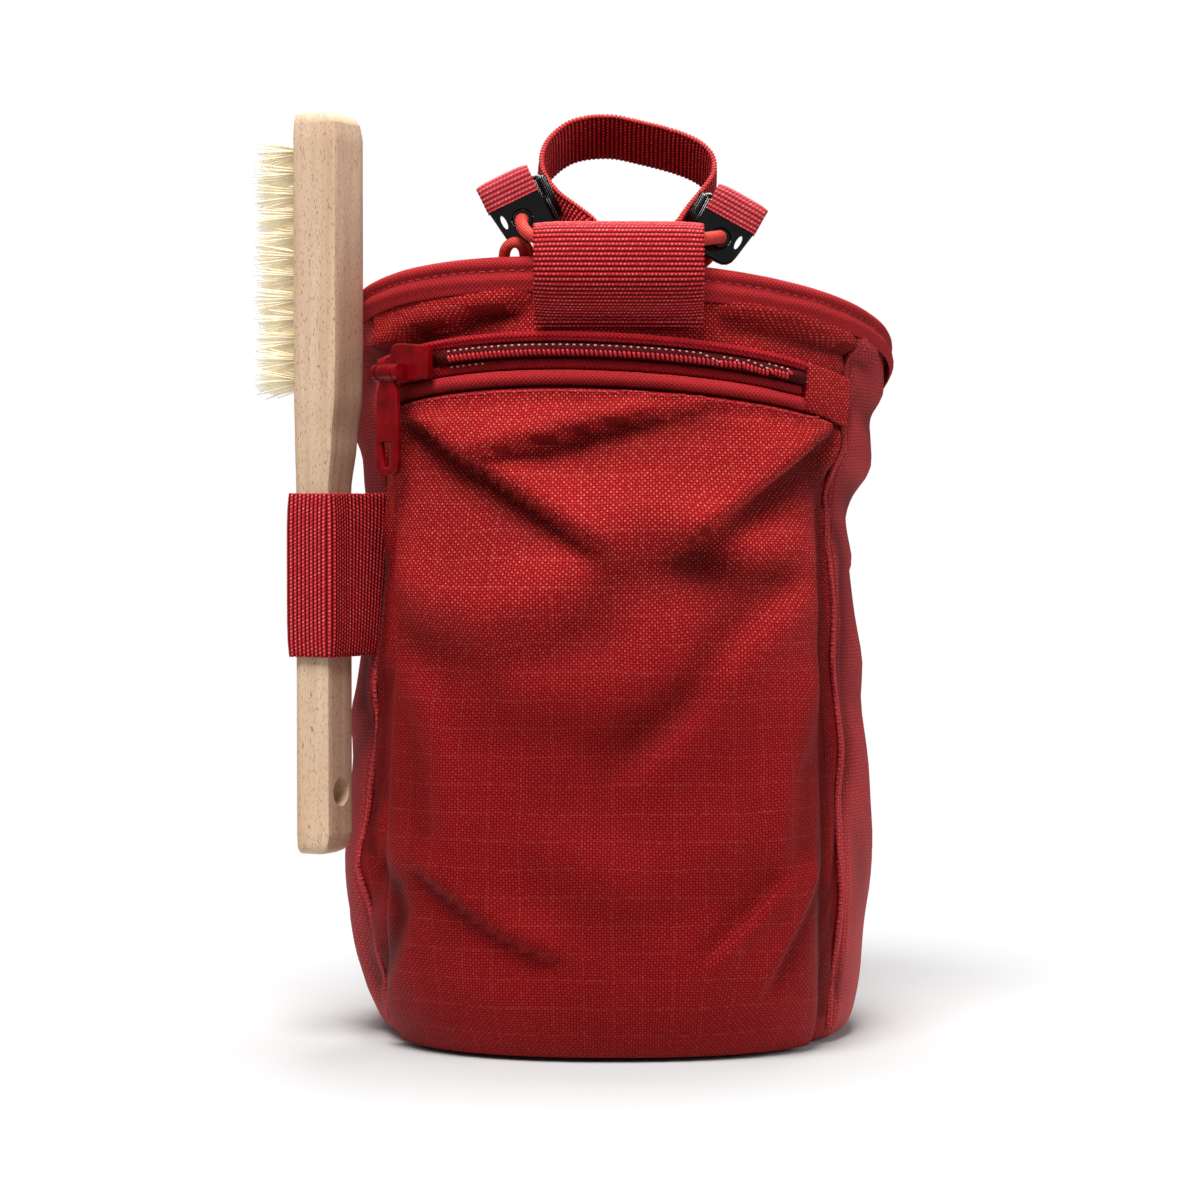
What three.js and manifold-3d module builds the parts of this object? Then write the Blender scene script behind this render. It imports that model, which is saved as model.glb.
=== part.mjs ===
// Climbing chalk bag with a zipped front pocket, a webbing belt loop, a carrying strap and a brush.
// Millimetres, +Z up, front towards -Y. The origin is the centre of the base, on the ground.
import * as THREE from "three";
import { mergeVertices } from "three/addons/utils/BufferGeometryUtils.js";
import Module from "manifold-3d";

const wasm = await Module();
wasm.setup();

// Driving sizes of the bag
const BAG_WIDTH = 130;
const BAG_DEPTH = 116;
const BAG_HEIGHT = 173; // base to rim on the axis
const SQUARENESS = 2.3; // 2 is an ellipse, more is boxier
const RIM_TILT = 14; // degrees, the mouth is higher at the front
const RIM_ROLL = 3.4; // degrees, the mouth is lower on the right
const CLOTH = 1.6;
const GAP = 0.3; // between pieces that touch
const TURN_IN = 7; // width of cloth turned in under the base
const BASE_THICKNESS = 2;
const SHELL_SIDES = 44;

// Driving sizes of the hem, pocket and zip
const HEM_HEIGHT = 7;
const HEM_CLOTH = 0.9;
const HEM_ROLL = 2;
const POCKET_DEPTH = 6.8;
const POCKET_GAP = 0.6; // free space between the pocket's edge and the wall
const ZIP_DROP = 22.2; // coil below the front rim
const ZIP_DROOP = 1.5; // how far the zip sinks towards its ends
const COIL_WIDTH = 3.4;
const COIL_STAND = 4;
const TAPE_WIDTH = 2.3;
const TAPE_STAND = 2.9;
const WELT_STAND = 3.8;
const WELT_WIDTH = 3.6; // strip between the pocket's topstitched seam and the zip
const ZIP_FROM = -37.5; // degrees round from the front
const ZIP_TO = 40;
const TAPE_FROM = -57;
const TAPE_TO = 54; // outer end of the tab over the zip
const SEAM_ANGLE = 66; // left side seam, degrees round from the front

// Driving sizes of the slider and its pull
const SLIDER_ANGLE = -43;
const SLIDER_SIZE = [12, 9.4, 2.6]; // along the zip, up, thick
const PIN_DIAMETER = 1.8;
const PIN_CLEARANCE = 0.3;
const KNUCKLE_DIAMETER = 4.2;
const KNUCKLE_WIDTH = 4.6;
const LUG_THICKNESS = 1.4;
const PULL_LENGTH = 24.5;
const PULL_WIDTH = 7.4;
const PULL_THICKNESS = 1.7;
const SLIDER_BEVEL = 0.4;
const PULL_BEVEL = 0.3;

// Driving sizes of the webbing and the cords
const BELT_WEBBING = 39.2;
const BELT_LOOP_CENTRE = 1.3; // off the middle, to the right
const BELT_THICKNESS = 1.8;
const BELT_LOOP_RISE = 7.5; // above the rim
const BELT_LOOP_BULGE = 7.2; // free depth in front of the hem
const BELT_TAIL_DROP = 16.5; // sewn tail's lower edge below the front rim
const STRAP_WIDTH = 14;
const STRAP_THICKNESS = 1.7;
const STRAP_LEAN = 40; // degrees back from upright
const PLATE_BEVEL = 0.4;
const TIE_CORD_DIAMETER = 3.4;
const RIM_CORD_DIAMETER = 3;
const PLATE_THICKNESS = 2.6;
const PLATE_BAR = 16;
const PLATE_FOOT = 11;
const PLATE_HEIGHT = 13;
const PLATE_SET_BACK = 9.2; // behind the middle of the front rim
const TAB_LENGTH = 13.2;
const TAB_THICKNESS = 1.5;
const TAB_REACH = 3.4; // how far the folded tab comes down over the plate

// Driving sizes of the brush
const BRUSH_OUT = 3; // middle of the handle beyond half the bag's width
const BRUSH_BACK = 24; // behind the bag's front
const BRUSH_FOOT = 46;
const BRUSH_TURN = -27; // degrees about +Z
const BRUSH_LENGTH = 177;
const BRUSH_THICKNESS = 12.2;
const BRUSH_WIDTH = 13.6;
const HANDLE_POWER = 7; // 2 is an oval section, more is boxier
const HANG_HOLE = 7;
const HANG_HOLE_HEIGHT = 15;
const BRISTLE_LENGTH = 11.2;
const BRISTLE_FROM = 111; // above the foot
const BRISTLE_TO = 170;
const TUFT_ROWS = 12;
const TUFT_COLUMNS = 3;
const TUFT_ROOT = 0.95; // radius where a tuft leaves the wood
const SLEEVE_HEIGHT = 39;
const SLEEVE_FOOT = 93.4;
const SLEEVE_CLOTH = 1.8;
const SLEEVE_CLEARANCE = 0.5;

// Wall sections: height as a share of BAG_HEIGHT, reach as shares of half the width or depth
const WALL_SECTIONS = [
  { height: 0.0, right: 0.88, left: 0.835, front: 0.955, back: 0.9 },
  { height: 0.012, right: 0.915, left: 0.885, front: 0.98, back: 0.93 },
  { height: 0.035, right: 0.938, left: 0.915, front: 0.99, back: 0.955 },
  { height: 0.09, right: 0.957, left: 0.965, front: 1.0, back: 0.975 },
  { height: 0.15, right: 0.98, left: 1.01, front: 1.0, back: 0.99 },
  { height: 0.23, right: 0.997, left: 1.035, front: 1.0, back: 1.0 },
  { height: 0.31, right: 0.998, left: 1.02, front: 0.99, back: 1.0 },
  { height: 0.47, right: 0.958, left: 0.985, front: 0.98, back: 0.985 },
  { height: 0.56, right: 0.96, left: 0.965, front: 0.98, back: 0.97 },
  { height: 0.65, right: 0.937, left: 0.945, front: 0.975, back: 0.955 },
  { height: 0.735, right: 0.918, left: 0.93, front: 0.975, back: 0.945 },
  { height: 0.8, right: 0.985, left: 0.94, front: 0.98, back: 0.95 },
  { height: 0.88, right: 1.0, left: 0.955, front: 0.99, back: 0.965 },
  { height: 0.94, right: 1.05, left: 0.975, front: 1.0, back: 0.985 },
  { height: 1.0, right: 1.055, left: 0.995, front: 1.0, back: 1.0 },
];

// Dents in the sides and back: place and size as shares of the half width and of the height
const WALL_FOLDS = [
  { angle: 82, height: 0.72, long: 0.5, wide: 0.16, turn: 24, depth: 0.035 },
  { angle: 105, height: 0.55, long: 0.6, wide: 0.2, turn: -30, depth: 0.03 },
  { angle: 140, height: 0.7, long: 0.7, wide: 0.18, turn: 20, depth: 0.04 },
  { angle: 180, height: 0.42, long: 0.8, wide: 0.22, turn: -12, depth: 0.035 },
  { angle: 215, height: 0.75, long: 0.6, wide: 0.17, turn: 28, depth: 0.035 },
  { angle: 250, height: 0.35, long: 0.6, wide: 0.2, turn: -25, depth: 0.03 },
  { angle: 95, height: 0.2, long: 0.5, wide: 0.18, turn: 15, depth: 0.025 },
];

// Pocket edge: height as a share of the pocket's own height, edges in degrees, stand as a share of its depth
const POCKET_SECTIONS = [
  { height: 0.0, left: -57, right: 48.5, stand: 0.22 },
  { height: 0.06, left: -56, right: 47.5, stand: 0.55 },
  { height: 0.13, left: -52, right: 46, stand: 0.85 },
  { height: 0.21, left: -48, right: 45.5, stand: 1.0 },
  { height: 0.48, left: -48, right: 45.5, stand: 1.0 },
  { height: 0.73, left: -49, right: 46, stand: 0.95 },
  { height: 0.83, left: -51, right: 48, stand: 0.85 },
  { height: 0.92, left: -54, right: 51, stand: 0.62 },
  { height: 1.0, left: -57, right: 53.5, stand: 0.3 },
];

// Pocket folds: place from the middle and from the foot, as shares of half its width and of its height
const POCKET_FOLDS = [
  { across: -0.52, up: 0.85, long: 0.5, wide: 0.09, turn: -32, depth: -0.42 },
  { across: -0.3, up: 0.94, long: 0.5, wide: 0.1, turn: -20, depth: 0.16 },
  { across: 0.05, up: 0.9, long: 0.4, wide: 0.07, turn: 12, depth: -0.3 },
  { across: 0.68, up: 0.84, long: 0.4, wide: 0.08, turn: 36, depth: -0.36 },
  { across: 0.5, up: 0.62, long: 0.5, wide: 0.12, turn: 62, depth: -0.2 },
  { across: 0.35, up: 0.5, long: 0.5, wide: 0.12, turn: 55, depth: 0.16 },
  { across: -0.75, up: 0.2, long: 0.35, wide: 0.1, turn: -40, depth: -0.3 },
  { across: 0.5, up: 0.16, long: 0.4, wide: 0.12, turn: 65, depth: 0.14 },
];

// Strap route along the edge that faces the front: across, along the lean, and twist towards flat
const STRAP_ARCH = [
  { across: 14.6, rise: 5.5, twist: -34 },
  { across: 17.2, rise: 11.5, twist: -16 },
  { across: 21.6, rise: 19, twist: -4 },
  { across: 24.2, rise: 25.5, twist: 0 },
  { across: 22.6, rise: 32, twist: 0 },
  { across: 17.5, rise: 36.8, twist: 0 },
  { across: 7.9, rise: 40.8, twist: 0 },
  { across: -1.7, rise: 43.4, twist: 0 },
  { across: -11.3, rise: 40.6, twist: 0 },
  { across: -16.2, rise: 32.6, twist: 0 },
  { across: -16.6, rise: 25.6, twist: -6 },
  { across: -13.2, rise: 17.9, twist: -18 },
  { across: -7.6, rise: 11.9, twist: -36 },
  { across: -2.8, rise: 7.2, twist: -58 },
];
const STRAP_BASE = [1, 2.5]; // Y and Z where the lean starts, from the middle of the front rim
const STRAP_FEET = { right: 13.6, left: -1.2, top: -1.5, bottom: -10.5 };

// Cord routes from the middle of the front rim, points chosen by hand
const TIE_CORD_ROUTE = [
  [14, -3.6, 3.1],
  [0, -4, 3.1],
  [-13, -3.6, 3.3],
  [-18.6, -1.6, 3.9],
  [-21.4, 2.6, 7.2],
  [-21.1, 9.2, 9.3],
  [-21.8, 13.6, 6.4],
  [-19.6, 16.8, 1.5],
  [-12, 18.8, -0.5],
  [0, 19.2, -0.9],
  [10, 19.8, -1.9],
  [17, 19.2, -2.5],
  [21.8, 16.6, -0.1],
  [24.6, 13, 3.4],
  [25.1, 9.2, 4.7],
  [24.6, 2.4, 4.4],
  [20.6, -1.8, 3.5],
];
const RIM_CORD_ROUTE = [
  [-25.4, 8.6, -6.5],
  [-25.5, 8.1, -1.5],
  [-25, 5.6, 2.1],
  [-22.9, 4, 3.5],
  [-20.9, 5.2, 2.3],
  [-20.5, 8, -1.5],
  [-20.5, 8.8, -6.5],
];

// Brush sections: height as a share of the length, thickness and width as shares of the head's
const BRUSH_SECTIONS = [
  { height: 0.0, thick: 0.58, wide: 0.62 },
  { height: 0.008, thick: 0.71, wide: 0.76 },
  { height: 0.025, thick: 0.77, wide: 0.83 },
  { height: 0.3, thick: 0.77, wide: 0.83 },
  { height: 0.49, thick: 0.77, wide: 0.83 },
  { height: 0.56, thick: 0.88, wide: 0.92 },
  { height: 0.62, thick: 0.98, wide: 0.99 },
  { height: 0.68, thick: 1.0, wide: 1.0 },
  { height: 0.965, thick: 1.0, wide: 1.0 },
  { height: 0.99, thick: 0.93, wide: 0.9 },
  { height: 1.0, thick: 0.8, wide: 0.72 },
];

// Colours and finishes
const RED_CLOTH = { color: 0xa8272b, roughness: 0.8, metalness: 0 };
const RED_SIDE_CLOTH = { color: 0x96292d, roughness: 0.85, metalness: 0 };
const RED_WEBBING = { color: 0xb01f28, roughness: 0.75, metalness: 0 };
const RED_ZIP = { color: 0xa31420, roughness: 0.45, metalness: 0 };
const RED_CORD = { color: 0xc93a35, roughness: 0.6, metalness: 0 };
const BLACK_PLASTIC = { color: 0x0c0d10, roughness: 0.25, metalness: 0 };
const BEECH = { color: 0xdcc3a5, roughness: 0.6, metalness: 0 };
const BRISTLE = { color: 0xeee6cb, roughness: 0.55, metalness: 0 };

const degrees = THREE.MathUtils.degToRad;
const model = new THREE.Group();

function add(name, geometry, finish, parent = model) {
  const mesh = new THREE.Mesh(geometry, new THREE.MeshStandardMaterial(finish));
  mesh.name = name;
  parent.add(mesh);
  return mesh;
}

// Value of every column of a table at one height, on a smooth curve through its rows
function rowAt(table, height) {
  const last = table.length - 1;
  let i = 0;
  while (i < last - 1 && height > table[i + 1].height) i++;
  const [a, b] = [table[i], table[i + 1]];
  const [before, after] = [table[Math.max(i - 1, 0)], table[Math.min(i + 2, last)]];
  const span = b.height - a.height;
  const t = THREE.MathUtils.clamp((height - a.height) / span, 0, 1);
  const row = {};
  for (const key of Object.keys(a)) {
    const slopeA = ((b[key] - before[key]) / (b.height - before.height)) * span;
    const slopeB = ((after[key] - a[key]) / (after.height - a.height)) * span;
    const bend = t * t * (3 - 2 * t);
    row[key] = a[key] + (b[key] - a[key]) * bend
      + slopeA * t * (1 - t) ** 2 - slopeB * t * t * (1 - t);
  }
  return row;
}

// Closed solid from two facing grids: point(i, j, side) with side 1 outside and 0 inside
function slab(columns, rows, point) {
  const positions = [];
  const faces = [];
  const index = (i, j, side) => side * (columns + 1) * (rows + 1) + i * (rows + 1) + j;
  for (const side of [0, 1]) {
    for (let i = 0; i <= columns; i++) {
      for (let j = 0; j <= rows; j++) positions.push(...point(i / columns, j / rows, side));
    }
  }
  const quad = (a, b, c, d) => faces.push(a, b, c, a, c, d);
  for (let i = 0; i < columns; i++) {
    for (let j = 0; j < rows; j++) {
      quad(index(i, j, 1), index(i + 1, j, 1), index(i + 1, j + 1, 1), index(i, j + 1, 1));
      quad(index(i, j, 0), index(i, j + 1, 0), index(i + 1, j + 1, 0), index(i + 1, j, 0));
    }
    quad(index(i, 0, 0), index(i + 1, 0, 0), index(i + 1, 0, 1), index(i, 0, 1));
    quad(index(i, rows, 1), index(i + 1, rows, 1), index(i + 1, rows, 0), index(i, rows, 0));
  }
  for (let j = 0; j < rows; j++) {
    quad(index(0, j, 1), index(0, j + 1, 1), index(0, j + 1, 0), index(0, j, 0));
    quad(index(columns, j, 0), index(columns, j + 1, 0), index(columns, j + 1, 1), index(columns, j, 1));
  }
  return indexed(positions, faces);
}

// Closed solid through a list of closed rings, either ending in caps or joined end to end
function loft(rings, joined) {
  const sides = rings[0].length;
  const positions = rings.flat(2);
  const faces = [];
  const count = joined ? rings.length : rings.length - 1;
  for (let r = 0; r < count; r++) {
    const next = (r + 1) % rings.length;
    for (let s = 0; s < sides; s++) {
      const t = (s + 1) % sides;
      const [a, b, c, d] = [r * sides + s, r * sides + t, next * sides + t, next * sides + s];
      faces.push(a, b, c, a, c, d);
    }
  }
  if (!joined) {
    for (const [ring, turn] of [[0, false], [rings.length - 1, true]]) {
      const middle = positions.length / 3;
      const centre = rings[ring].reduce((sum, p) => sum.map((v, k) => v + p[k] / sides), [0, 0, 0]);
      positions.push(...centre);
      for (let s = 0; s < sides; s++) {
        const [a, b] = [ring * sides + s, ring * sides + ((s + 1) % sides)];
        faces.push(...(turn ? [middle, a, b] : [middle, b, a]));
      }
    }
  }
  return indexed(positions, faces);
}

function indexed(positions, faces) {
  const geometry = new THREE.BufferGeometry();
  geometry.setAttribute("position", new THREE.Float32BufferAttribute(positions, 3));
  geometry.setIndex(faces);
  geometry.computeVertexNormals();
  return geometry;
}

// Outline drawn in XY, made thick about z = 0 with its edges bevelled inwards
function bevelled(outline, thickness, bevel, curveSegments) {
  const rounding = { bevelThickness: bevel, bevelSize: bevel, bevelOffset: -bevel, bevelSegments: 1 };
  const depth = thickness - 2 * bevel;
  const shape = new THREE.ExtrudeGeometry(outline, { depth, curveSegments, ...rounding });
  return shape.translate(0, 0, -depth / 2);
}

// Solids for joining and cutting
function solid(geometry) {
  const bare = geometry.clone();
  bare.deleteAttribute("normal");
  bare.deleteAttribute("uv");
  const merged = mergeVertices(bare);
  return new wasm.Manifold(new wasm.Mesh({
    numProp: 3,
    vertProperties: merged.attributes.position.array,
    triVerts: new Uint32Array(merged.index.array),
  }));
}

function geometryOf(manifold) {
  const mesh = manifold.getMesh();
  return indexed(Array.from(mesh.vertProperties), Array.from(mesh.triVerts));
}

// Bag wall
const tiltSlope = Math.tan(degrees(RIM_TILT));
const rollSlope = Math.tan(degrees(RIM_ROLL));

function wallPlace(angle, height) {
  const reach = rowAt(WALL_SECTIONS, height);
  const [s, c] = [Math.sin(degrees(angle)), Math.cos(degrees(angle))];
  const power = (v) => Math.abs(v) ** SQUARENESS;
  const radius = (power(s) + power(c)) ** (-1 / SQUARENESS);
  const ease = (v) => (1 + v / Math.hypot(v, 0.15)) / 2;
  const side = THREE.MathUtils.lerp(reach.left, reach.right, ease(s));
  const depth = THREE.MathUtils.lerp(reach.back, reach.front, ease(c));
  const x = (BAG_WIDTH / 2) * side * radius * s;
  const y = (-BAG_DEPTH / 2) * depth * radius * c;
  const lean = Math.max(height, 0) ** 1.5;
  return new THREE.Vector3(x, y, height * BAG_HEIGHT - lean * (tiltSlope * y + rollSlope * x));
}

function wallNormal(angle, height) {
  const [dAngle, dHeight] = [1, 0.012];
  const low = Math.min(Math.max(height, 0.02), 0.97);
  const along = wallPlace(angle + dAngle, low).sub(wallPlace(angle - dAngle, low));
  const up = wallPlace(angle, low + dHeight).sub(wallPlace(angle, low - dHeight));
  return along.cross(up).normalize();
}

// Depth of the dents at one place, given distances from each fold's middle
function foldDepth(folds, unit, distance) {
  let depth = 0;
  for (const fold of folds) {
    const [dx, dz] = distance(fold);
    const [s, c] = [Math.sin(degrees(fold.turn)), Math.cos(degrees(fold.turn))];
    const along = (dx * c + dz * s) / (fold.long * unit);
    const across = (dz * c - dx * s) / (fold.wide * unit);
    depth += fold.depth * Math.exp(-along * along * 2 - across * across * 2);
  }
  return depth;
}

function wallDent(angle, height) {
  const half = BAG_WIDTH / 2;
  return half * foldDepth(WALL_FOLDS, half, (fold) => {
    const round = ((angle - fold.angle + 540) % 360) - 180;
    return [degrees(round) * half, (height - fold.height) * BAG_HEIGHT];
  });
}

function onWall(angle, height, out) {
  const place = wallPlace(angle, height);
  return place.addScaledVector(wallNormal(angle, height), out - wallDent(angle, height));
}

const frontRim = wallPlace(0, 1);
const heightShareFront = (z) => {
  let share = z / BAG_HEIGHT;
  for (let i = 0; i < 12; i++) share += (z - wallPlace(0, share).z) / BAG_HEIGHT / 1.1;
  return share;
};
const SHARE_PER_MM = 1 / (BAG_HEIGHT + 1.5 * tiltSlope * (BAG_DEPTH / 2));
const HEM_TOP_SHARE = 1 - (HEM_ROLL + GAP) * SHARE_PER_MM;

function bagShell() {
  const rings = [];
  const ring = (point) => rings.push(
    Array.from({ length: SHELL_SIDES }, (_, k) => point((360 * k) / SHELL_SIDES).toArray()),
  );
  const shrink = (angle, inset, z) => {
    const edge = wallPlace(angle, 0);
    const length = Math.hypot(edge.x, edge.y);
    return new THREE.Vector3(edge.x * (1 - inset / length), edge.y * (1 - inset / length), z);
  };
  const outer = [0, 0.012, 0.035, 0.09, 0.16, 0.24, 0.33, 0.43, 0.53, 0.62, 0.68, 0.735, 0.78,
    0.83, 0.89, 0.94, HEM_TOP_SHARE];
  const inner = [HEM_TOP_SHARE, 0.94, 0.82, 0.735, 0.66, 0.5, 0.33, 0.15, 0.03];
  ring((angle) => shrink(angle, TURN_IN, 0));
  for (const share of outer) ring((angle) => onWall(angle, share, 0));
  for (const share of inner) ring((angle) => onWall(angle, share, -CLOTH));
  ring((angle) => shrink(angle, 2 * CLOTH, 2 * CLOTH));
  ring((angle) => shrink(angle, TURN_IN, BASE_THICKNESS));
  return loft(rings, true);
}

function basePanel() {
  const ring = (z) => Array.from({ length: SHELL_SIDES / 2 }, (_, k) => {
    const edge = wallPlace((720 * k) / SHELL_SIDES, 0);
    const share = 1 - (TURN_IN + GAP) / Math.hypot(edge.x, edge.y);
    return [edge.x * share, edge.y * share, z];
  });
  return loft([ring(0), ring(BASE_THICKNESS)], false);
}

// Hem section: out from the wall's middle, and up from the wall's top edge
function rimBinding() {
  const face = CLOTH / 2 + GAP;
  const skin = face + HEM_CLOTH;
  const section = [
    [face, -HEM_HEIGHT], [skin, -HEM_HEIGHT], [skin + GAP, -GAP], [skin * 0.7, HEM_ROLL * 0.8],
    [-skin * 0.7, HEM_ROLL * 0.8], [-skin - GAP, -GAP], [-skin, -HEM_HEIGHT], [-face, -HEM_HEIGHT],
    [-face, GAP], [face, GAP],
  ].reverse();
  const rings = [];
  for (let k = 0; k < SHELL_SIDES; k++) {
    const angle = (360 * k) / SHELL_SIDES;
    rings.push(section.map(([out, up]) => {
      const share = HEM_TOP_SHARE + Math.min(up, 0) * SHARE_PER_MM;
      const place = onWall(angle, share, out - CLOTH / 2);
      place.z += Math.max(up, 0);
      return place.toArray();
    }));
  }
  return loft(rings, true);
}

// Pocket
const POCKET_FOOT_SHARE = 0.006;
const droop = (angle) => ZIP_DROOP * (angle / 45) ** 2 * SHARE_PER_MM;
const coilHeight = frontRim.z - ZIP_DROP;
const coilShare = heightShareFront(coilHeight);
const halfCoil = (COIL_WIDTH / 2) * SHARE_PER_MM;
const gapShare = GAP * SHARE_PER_MM;
const tapeShare = TAPE_WIDTH * SHARE_PER_MM;
const lowerTape = [coilShare - halfCoil - gapShare - tapeShare, coilShare - halfCoil - gapShare];
const upperTape = [coilShare + halfCoil + gapShare, coilShare + halfCoil + gapShare + tapeShare];
const weltShares = [lowerTape[0] - gapShare - WELT_WIDTH * SHARE_PER_MM, lowerTape[0] - gapShare];
const POCKET_TOP_SHARE = weltShares[0] - gapShare;

function pocketStand(u, w, row) {
  const side = Math.sqrt(Math.max(1 - Math.abs(u) ** 5, 0));
  const half = (BAG_WIDTH * 0.8) / 2;
  const tall = (POCKET_TOP_SHARE - POCKET_FOOT_SHARE) / SHARE_PER_MM;
  const fold = foldDepth(POCKET_FOLDS, half, (f) => [(u - f.across) * half, (w - f.up) * tall]);
  const calm = side * Math.min(1, 8 * w, 12 * (1 - w));
  return Math.max(POCKET_DEPTH * (row.stand * side + fold * calm), 0);
}

function frontPocket() {
  return slab(24, 18, (i, j, side) => {
    const u = Math.sin((i - 0.5) * Math.PI * 0.96) / Math.sin(0.48 * Math.PI);
    const row = rowAt(POCKET_SECTIONS, j);
    const angle = THREE.MathUtils.lerp(row.left, row.right, (u + 1) / 2);
    const share = THREE.MathUtils.lerp(POCKET_FOOT_SHARE, POCKET_TOP_SHARE - droop(angle), j);
    const place = onWall(angle, share, POCKET_GAP + pocketStand(u, j, row) + side * CLOTH);
    return place.setZ(Math.max(place.z, GAP)).toArray();
  });
}

// Strip that lies on the wall, from one height to another, with a rounded face
function wallStrip(columns, rows, angles, shares, stand, bulge) {
  return slab(columns, rows, (i, j, side) => {
    const angle = THREE.MathUtils.lerp(angles[0], angles[1], i);
    const share = THREE.MathUtils.lerp(shares[0], shares[1], j) - droop(angle);
    const round = stand - bulge * (2 * j - 1) ** 2;
    return onWall(angle, share, side ? round : GAP).toArray();
  });
}

add("bag_shell", bagShell(), RED_CLOTH);
add("base_panel", basePanel(), RED_SIDE_CLOTH);
add("rim_binding", rimBinding(), RED_SIDE_CLOTH);
add("front_pocket", frontPocket(), RED_CLOTH);
add("pocket_welt", wallStrip(17, 3, [TAPE_FROM, ZIP_TO], weltShares, WELT_STAND, 1), RED_CLOTH);
add("zip_tape_lower", wallStrip(17, 2, [TAPE_FROM, ZIP_TO], lowerTape, TAPE_STAND, 0.4), RED_ZIP);
add("zip_tape_upper", wallStrip(17, 2, [TAPE_FROM, ZIP_TO], upperTape, TAPE_STAND, 0.4), RED_ZIP);
add("zip_coil", wallStrip(17, 3, [ZIP_FROM, ZIP_TO],
  [coilShare - halfCoil, coilShare + halfCoil], COIL_STAND, 1.2), RED_ZIP);
add("zip_end_tab", wallStrip(5, 4, [ZIP_TO + 0.5, TAPE_TO],
  [weltShares[0], upperTape[1]], TAPE_STAND, 0.9), RED_CLOTH);

// Slider and pull, in a frame with x along the zip, y into the bag and z up
const sliderFrame = new THREE.Matrix4();
{
  const normal = wallNormal(SLIDER_ANGLE, coilShare).setZ(0).normalize();
  const up = new THREE.Vector3(0, 0, 1);
  const along = up.clone().cross(normal);
  const place = onWall(SLIDER_ANGLE, coilShare - droop(SLIDER_ANGLE), TAPE_STAND + 2 * GAP);
  sliderFrame.makeBasis(along, normal.clone().negate(), up).setPosition(place);
}
const HINGE = [-SLIDER_SIZE[0] / 2 + 2, -SLIDER_SIZE[2] - KNUCKLE_DIAMETER / 2 - GAP, -SLIDER_SIZE[1] / 4];
const lugSpan = KNUCKLE_WIDTH + 2 * PIN_CLEARANCE;

function block(size, place) {
  return solid(new THREE.BoxGeometry(...size).translate(...place));
}

function rod(diameter, length, place, sides = 16) {
  const shape = new THREE.CylinderGeometry(diameter / 2, diameter / 2, length, sides);
  return solid(shape.rotateZ(Math.PI / 2).translate(...place));
}

function sliderBody() {
  const [length, tall, thick] = SLIDER_SIZE;
  const outline = new THREE.Shape();
  outline.moveTo(-length / 2, -tall / 4);
  outline.quadraticCurveTo(-length / 2, -tall / 2, -length / 4, -tall / 2);
  outline.lineTo(length / 2, -tall / 2.4);
  outline.lineTo(length / 2, tall / 2.4);
  outline.lineTo(-length / 4, tall / 2);
  outline.quadraticCurveTo(-length / 2, tall / 2, -length / 2, tall / 4);
  const plate = bevelled(outline, thick, SLIDER_BEVEL, 4).translate(0, 0, thick / 2);
  let body = solid(plate.rotateX(Math.PI / 2));
  const [hx, hy, hz] = HINGE;
  for (const side of [-1, 1]) {
    const x = hx + side * (lugSpan + LUG_THICKNESS) / 2;
    body = body.add(rod(KNUCKLE_DIAMETER, LUG_THICKNESS, [x, hy, hz]));
    const foot = -hy - thick / 2;
    body = body.add(block([LUG_THICKNESS, foot, KNUCKLE_DIAMETER], [x, -thick / 2 - foot / 2, hz]));
  }
  return body.add(rod(PIN_DIAMETER, lugSpan + LUG_THICKNESS, HINGE));
}

function pullBody() {
  const [hx, hy, hz] = HINGE;
  const half = PULL_WIDTH / 2;
  const neck = KNUCKLE_WIDTH / 2;
  const outline = new THREE.Shape();
  outline.moveTo(-neck, 0);
  outline.lineTo(-neck, -KNUCKLE_DIAMETER * 0.6);
  outline.lineTo(-half * 0.86, -KNUCKLE_DIAMETER);
  outline.lineTo(-half, -PULL_LENGTH + half);
  outline.quadraticCurveTo(-half, -PULL_LENGTH, 0, -PULL_LENGTH);
  outline.quadraticCurveTo(half, -PULL_LENGTH, half, -PULL_LENGTH + half);
  outline.lineTo(half * 0.86, -KNUCKLE_DIAMETER);
  outline.lineTo(neck, -KNUCKLE_DIAMETER * 0.6);
  outline.lineTo(neck, 0);
  const window = new THREE.Path();
  window.moveTo(-half * 0.5, -PULL_LENGTH + half * 2.2);
  window.lineTo(-half * 0.2, -PULL_LENGTH + half * 0.6);
  window.lineTo(half * 0.2, -PULL_LENGTH + half * 0.6);
  window.lineTo(half * 0.5, -PULL_LENGTH + half * 2.2);
  outline.holes.push(window);
  const plate = bevelled(outline, PULL_THICKNESS, PULL_BEVEL, 4);
  return solid(plate.rotateX(Math.PI / 2).translate(hx, hy, hz))
    .add(rod(KNUCKLE_DIAMETER, KNUCKLE_WIDTH, HINGE))
    .subtract(rod(PIN_DIAMETER + 2 * PIN_CLEARANCE, KNUCKLE_WIDTH * 2, HINGE));
}

const slider = add("zip_slider", geometryOf(sliderBody()), RED_ZIP);
slider.applyMatrix4(sliderFrame);
const pull = add("zip_pull", geometryOf(pullBody()), RED_ZIP);
pull.applyMatrix4(sliderFrame);

// Belt loop, in the YZ plane, curved across to follow the wall
const tailFoot = frontRim.z - BELT_TAIL_DROP;
const tailShare = heightShareFront(tailFoot + 3);
const beltInside = frontRim.y + CLOTH + HEM_CLOTH + 3 * GAP + BELT_THICKNESS / 2;

function wallFollow(x) {
  const angle = Math.atan2(x, BAG_DEPTH / 2) / degrees(1);
  return wallPlace(angle, tailShare).y - wallPlace(0, tailShare).y;
}

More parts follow.
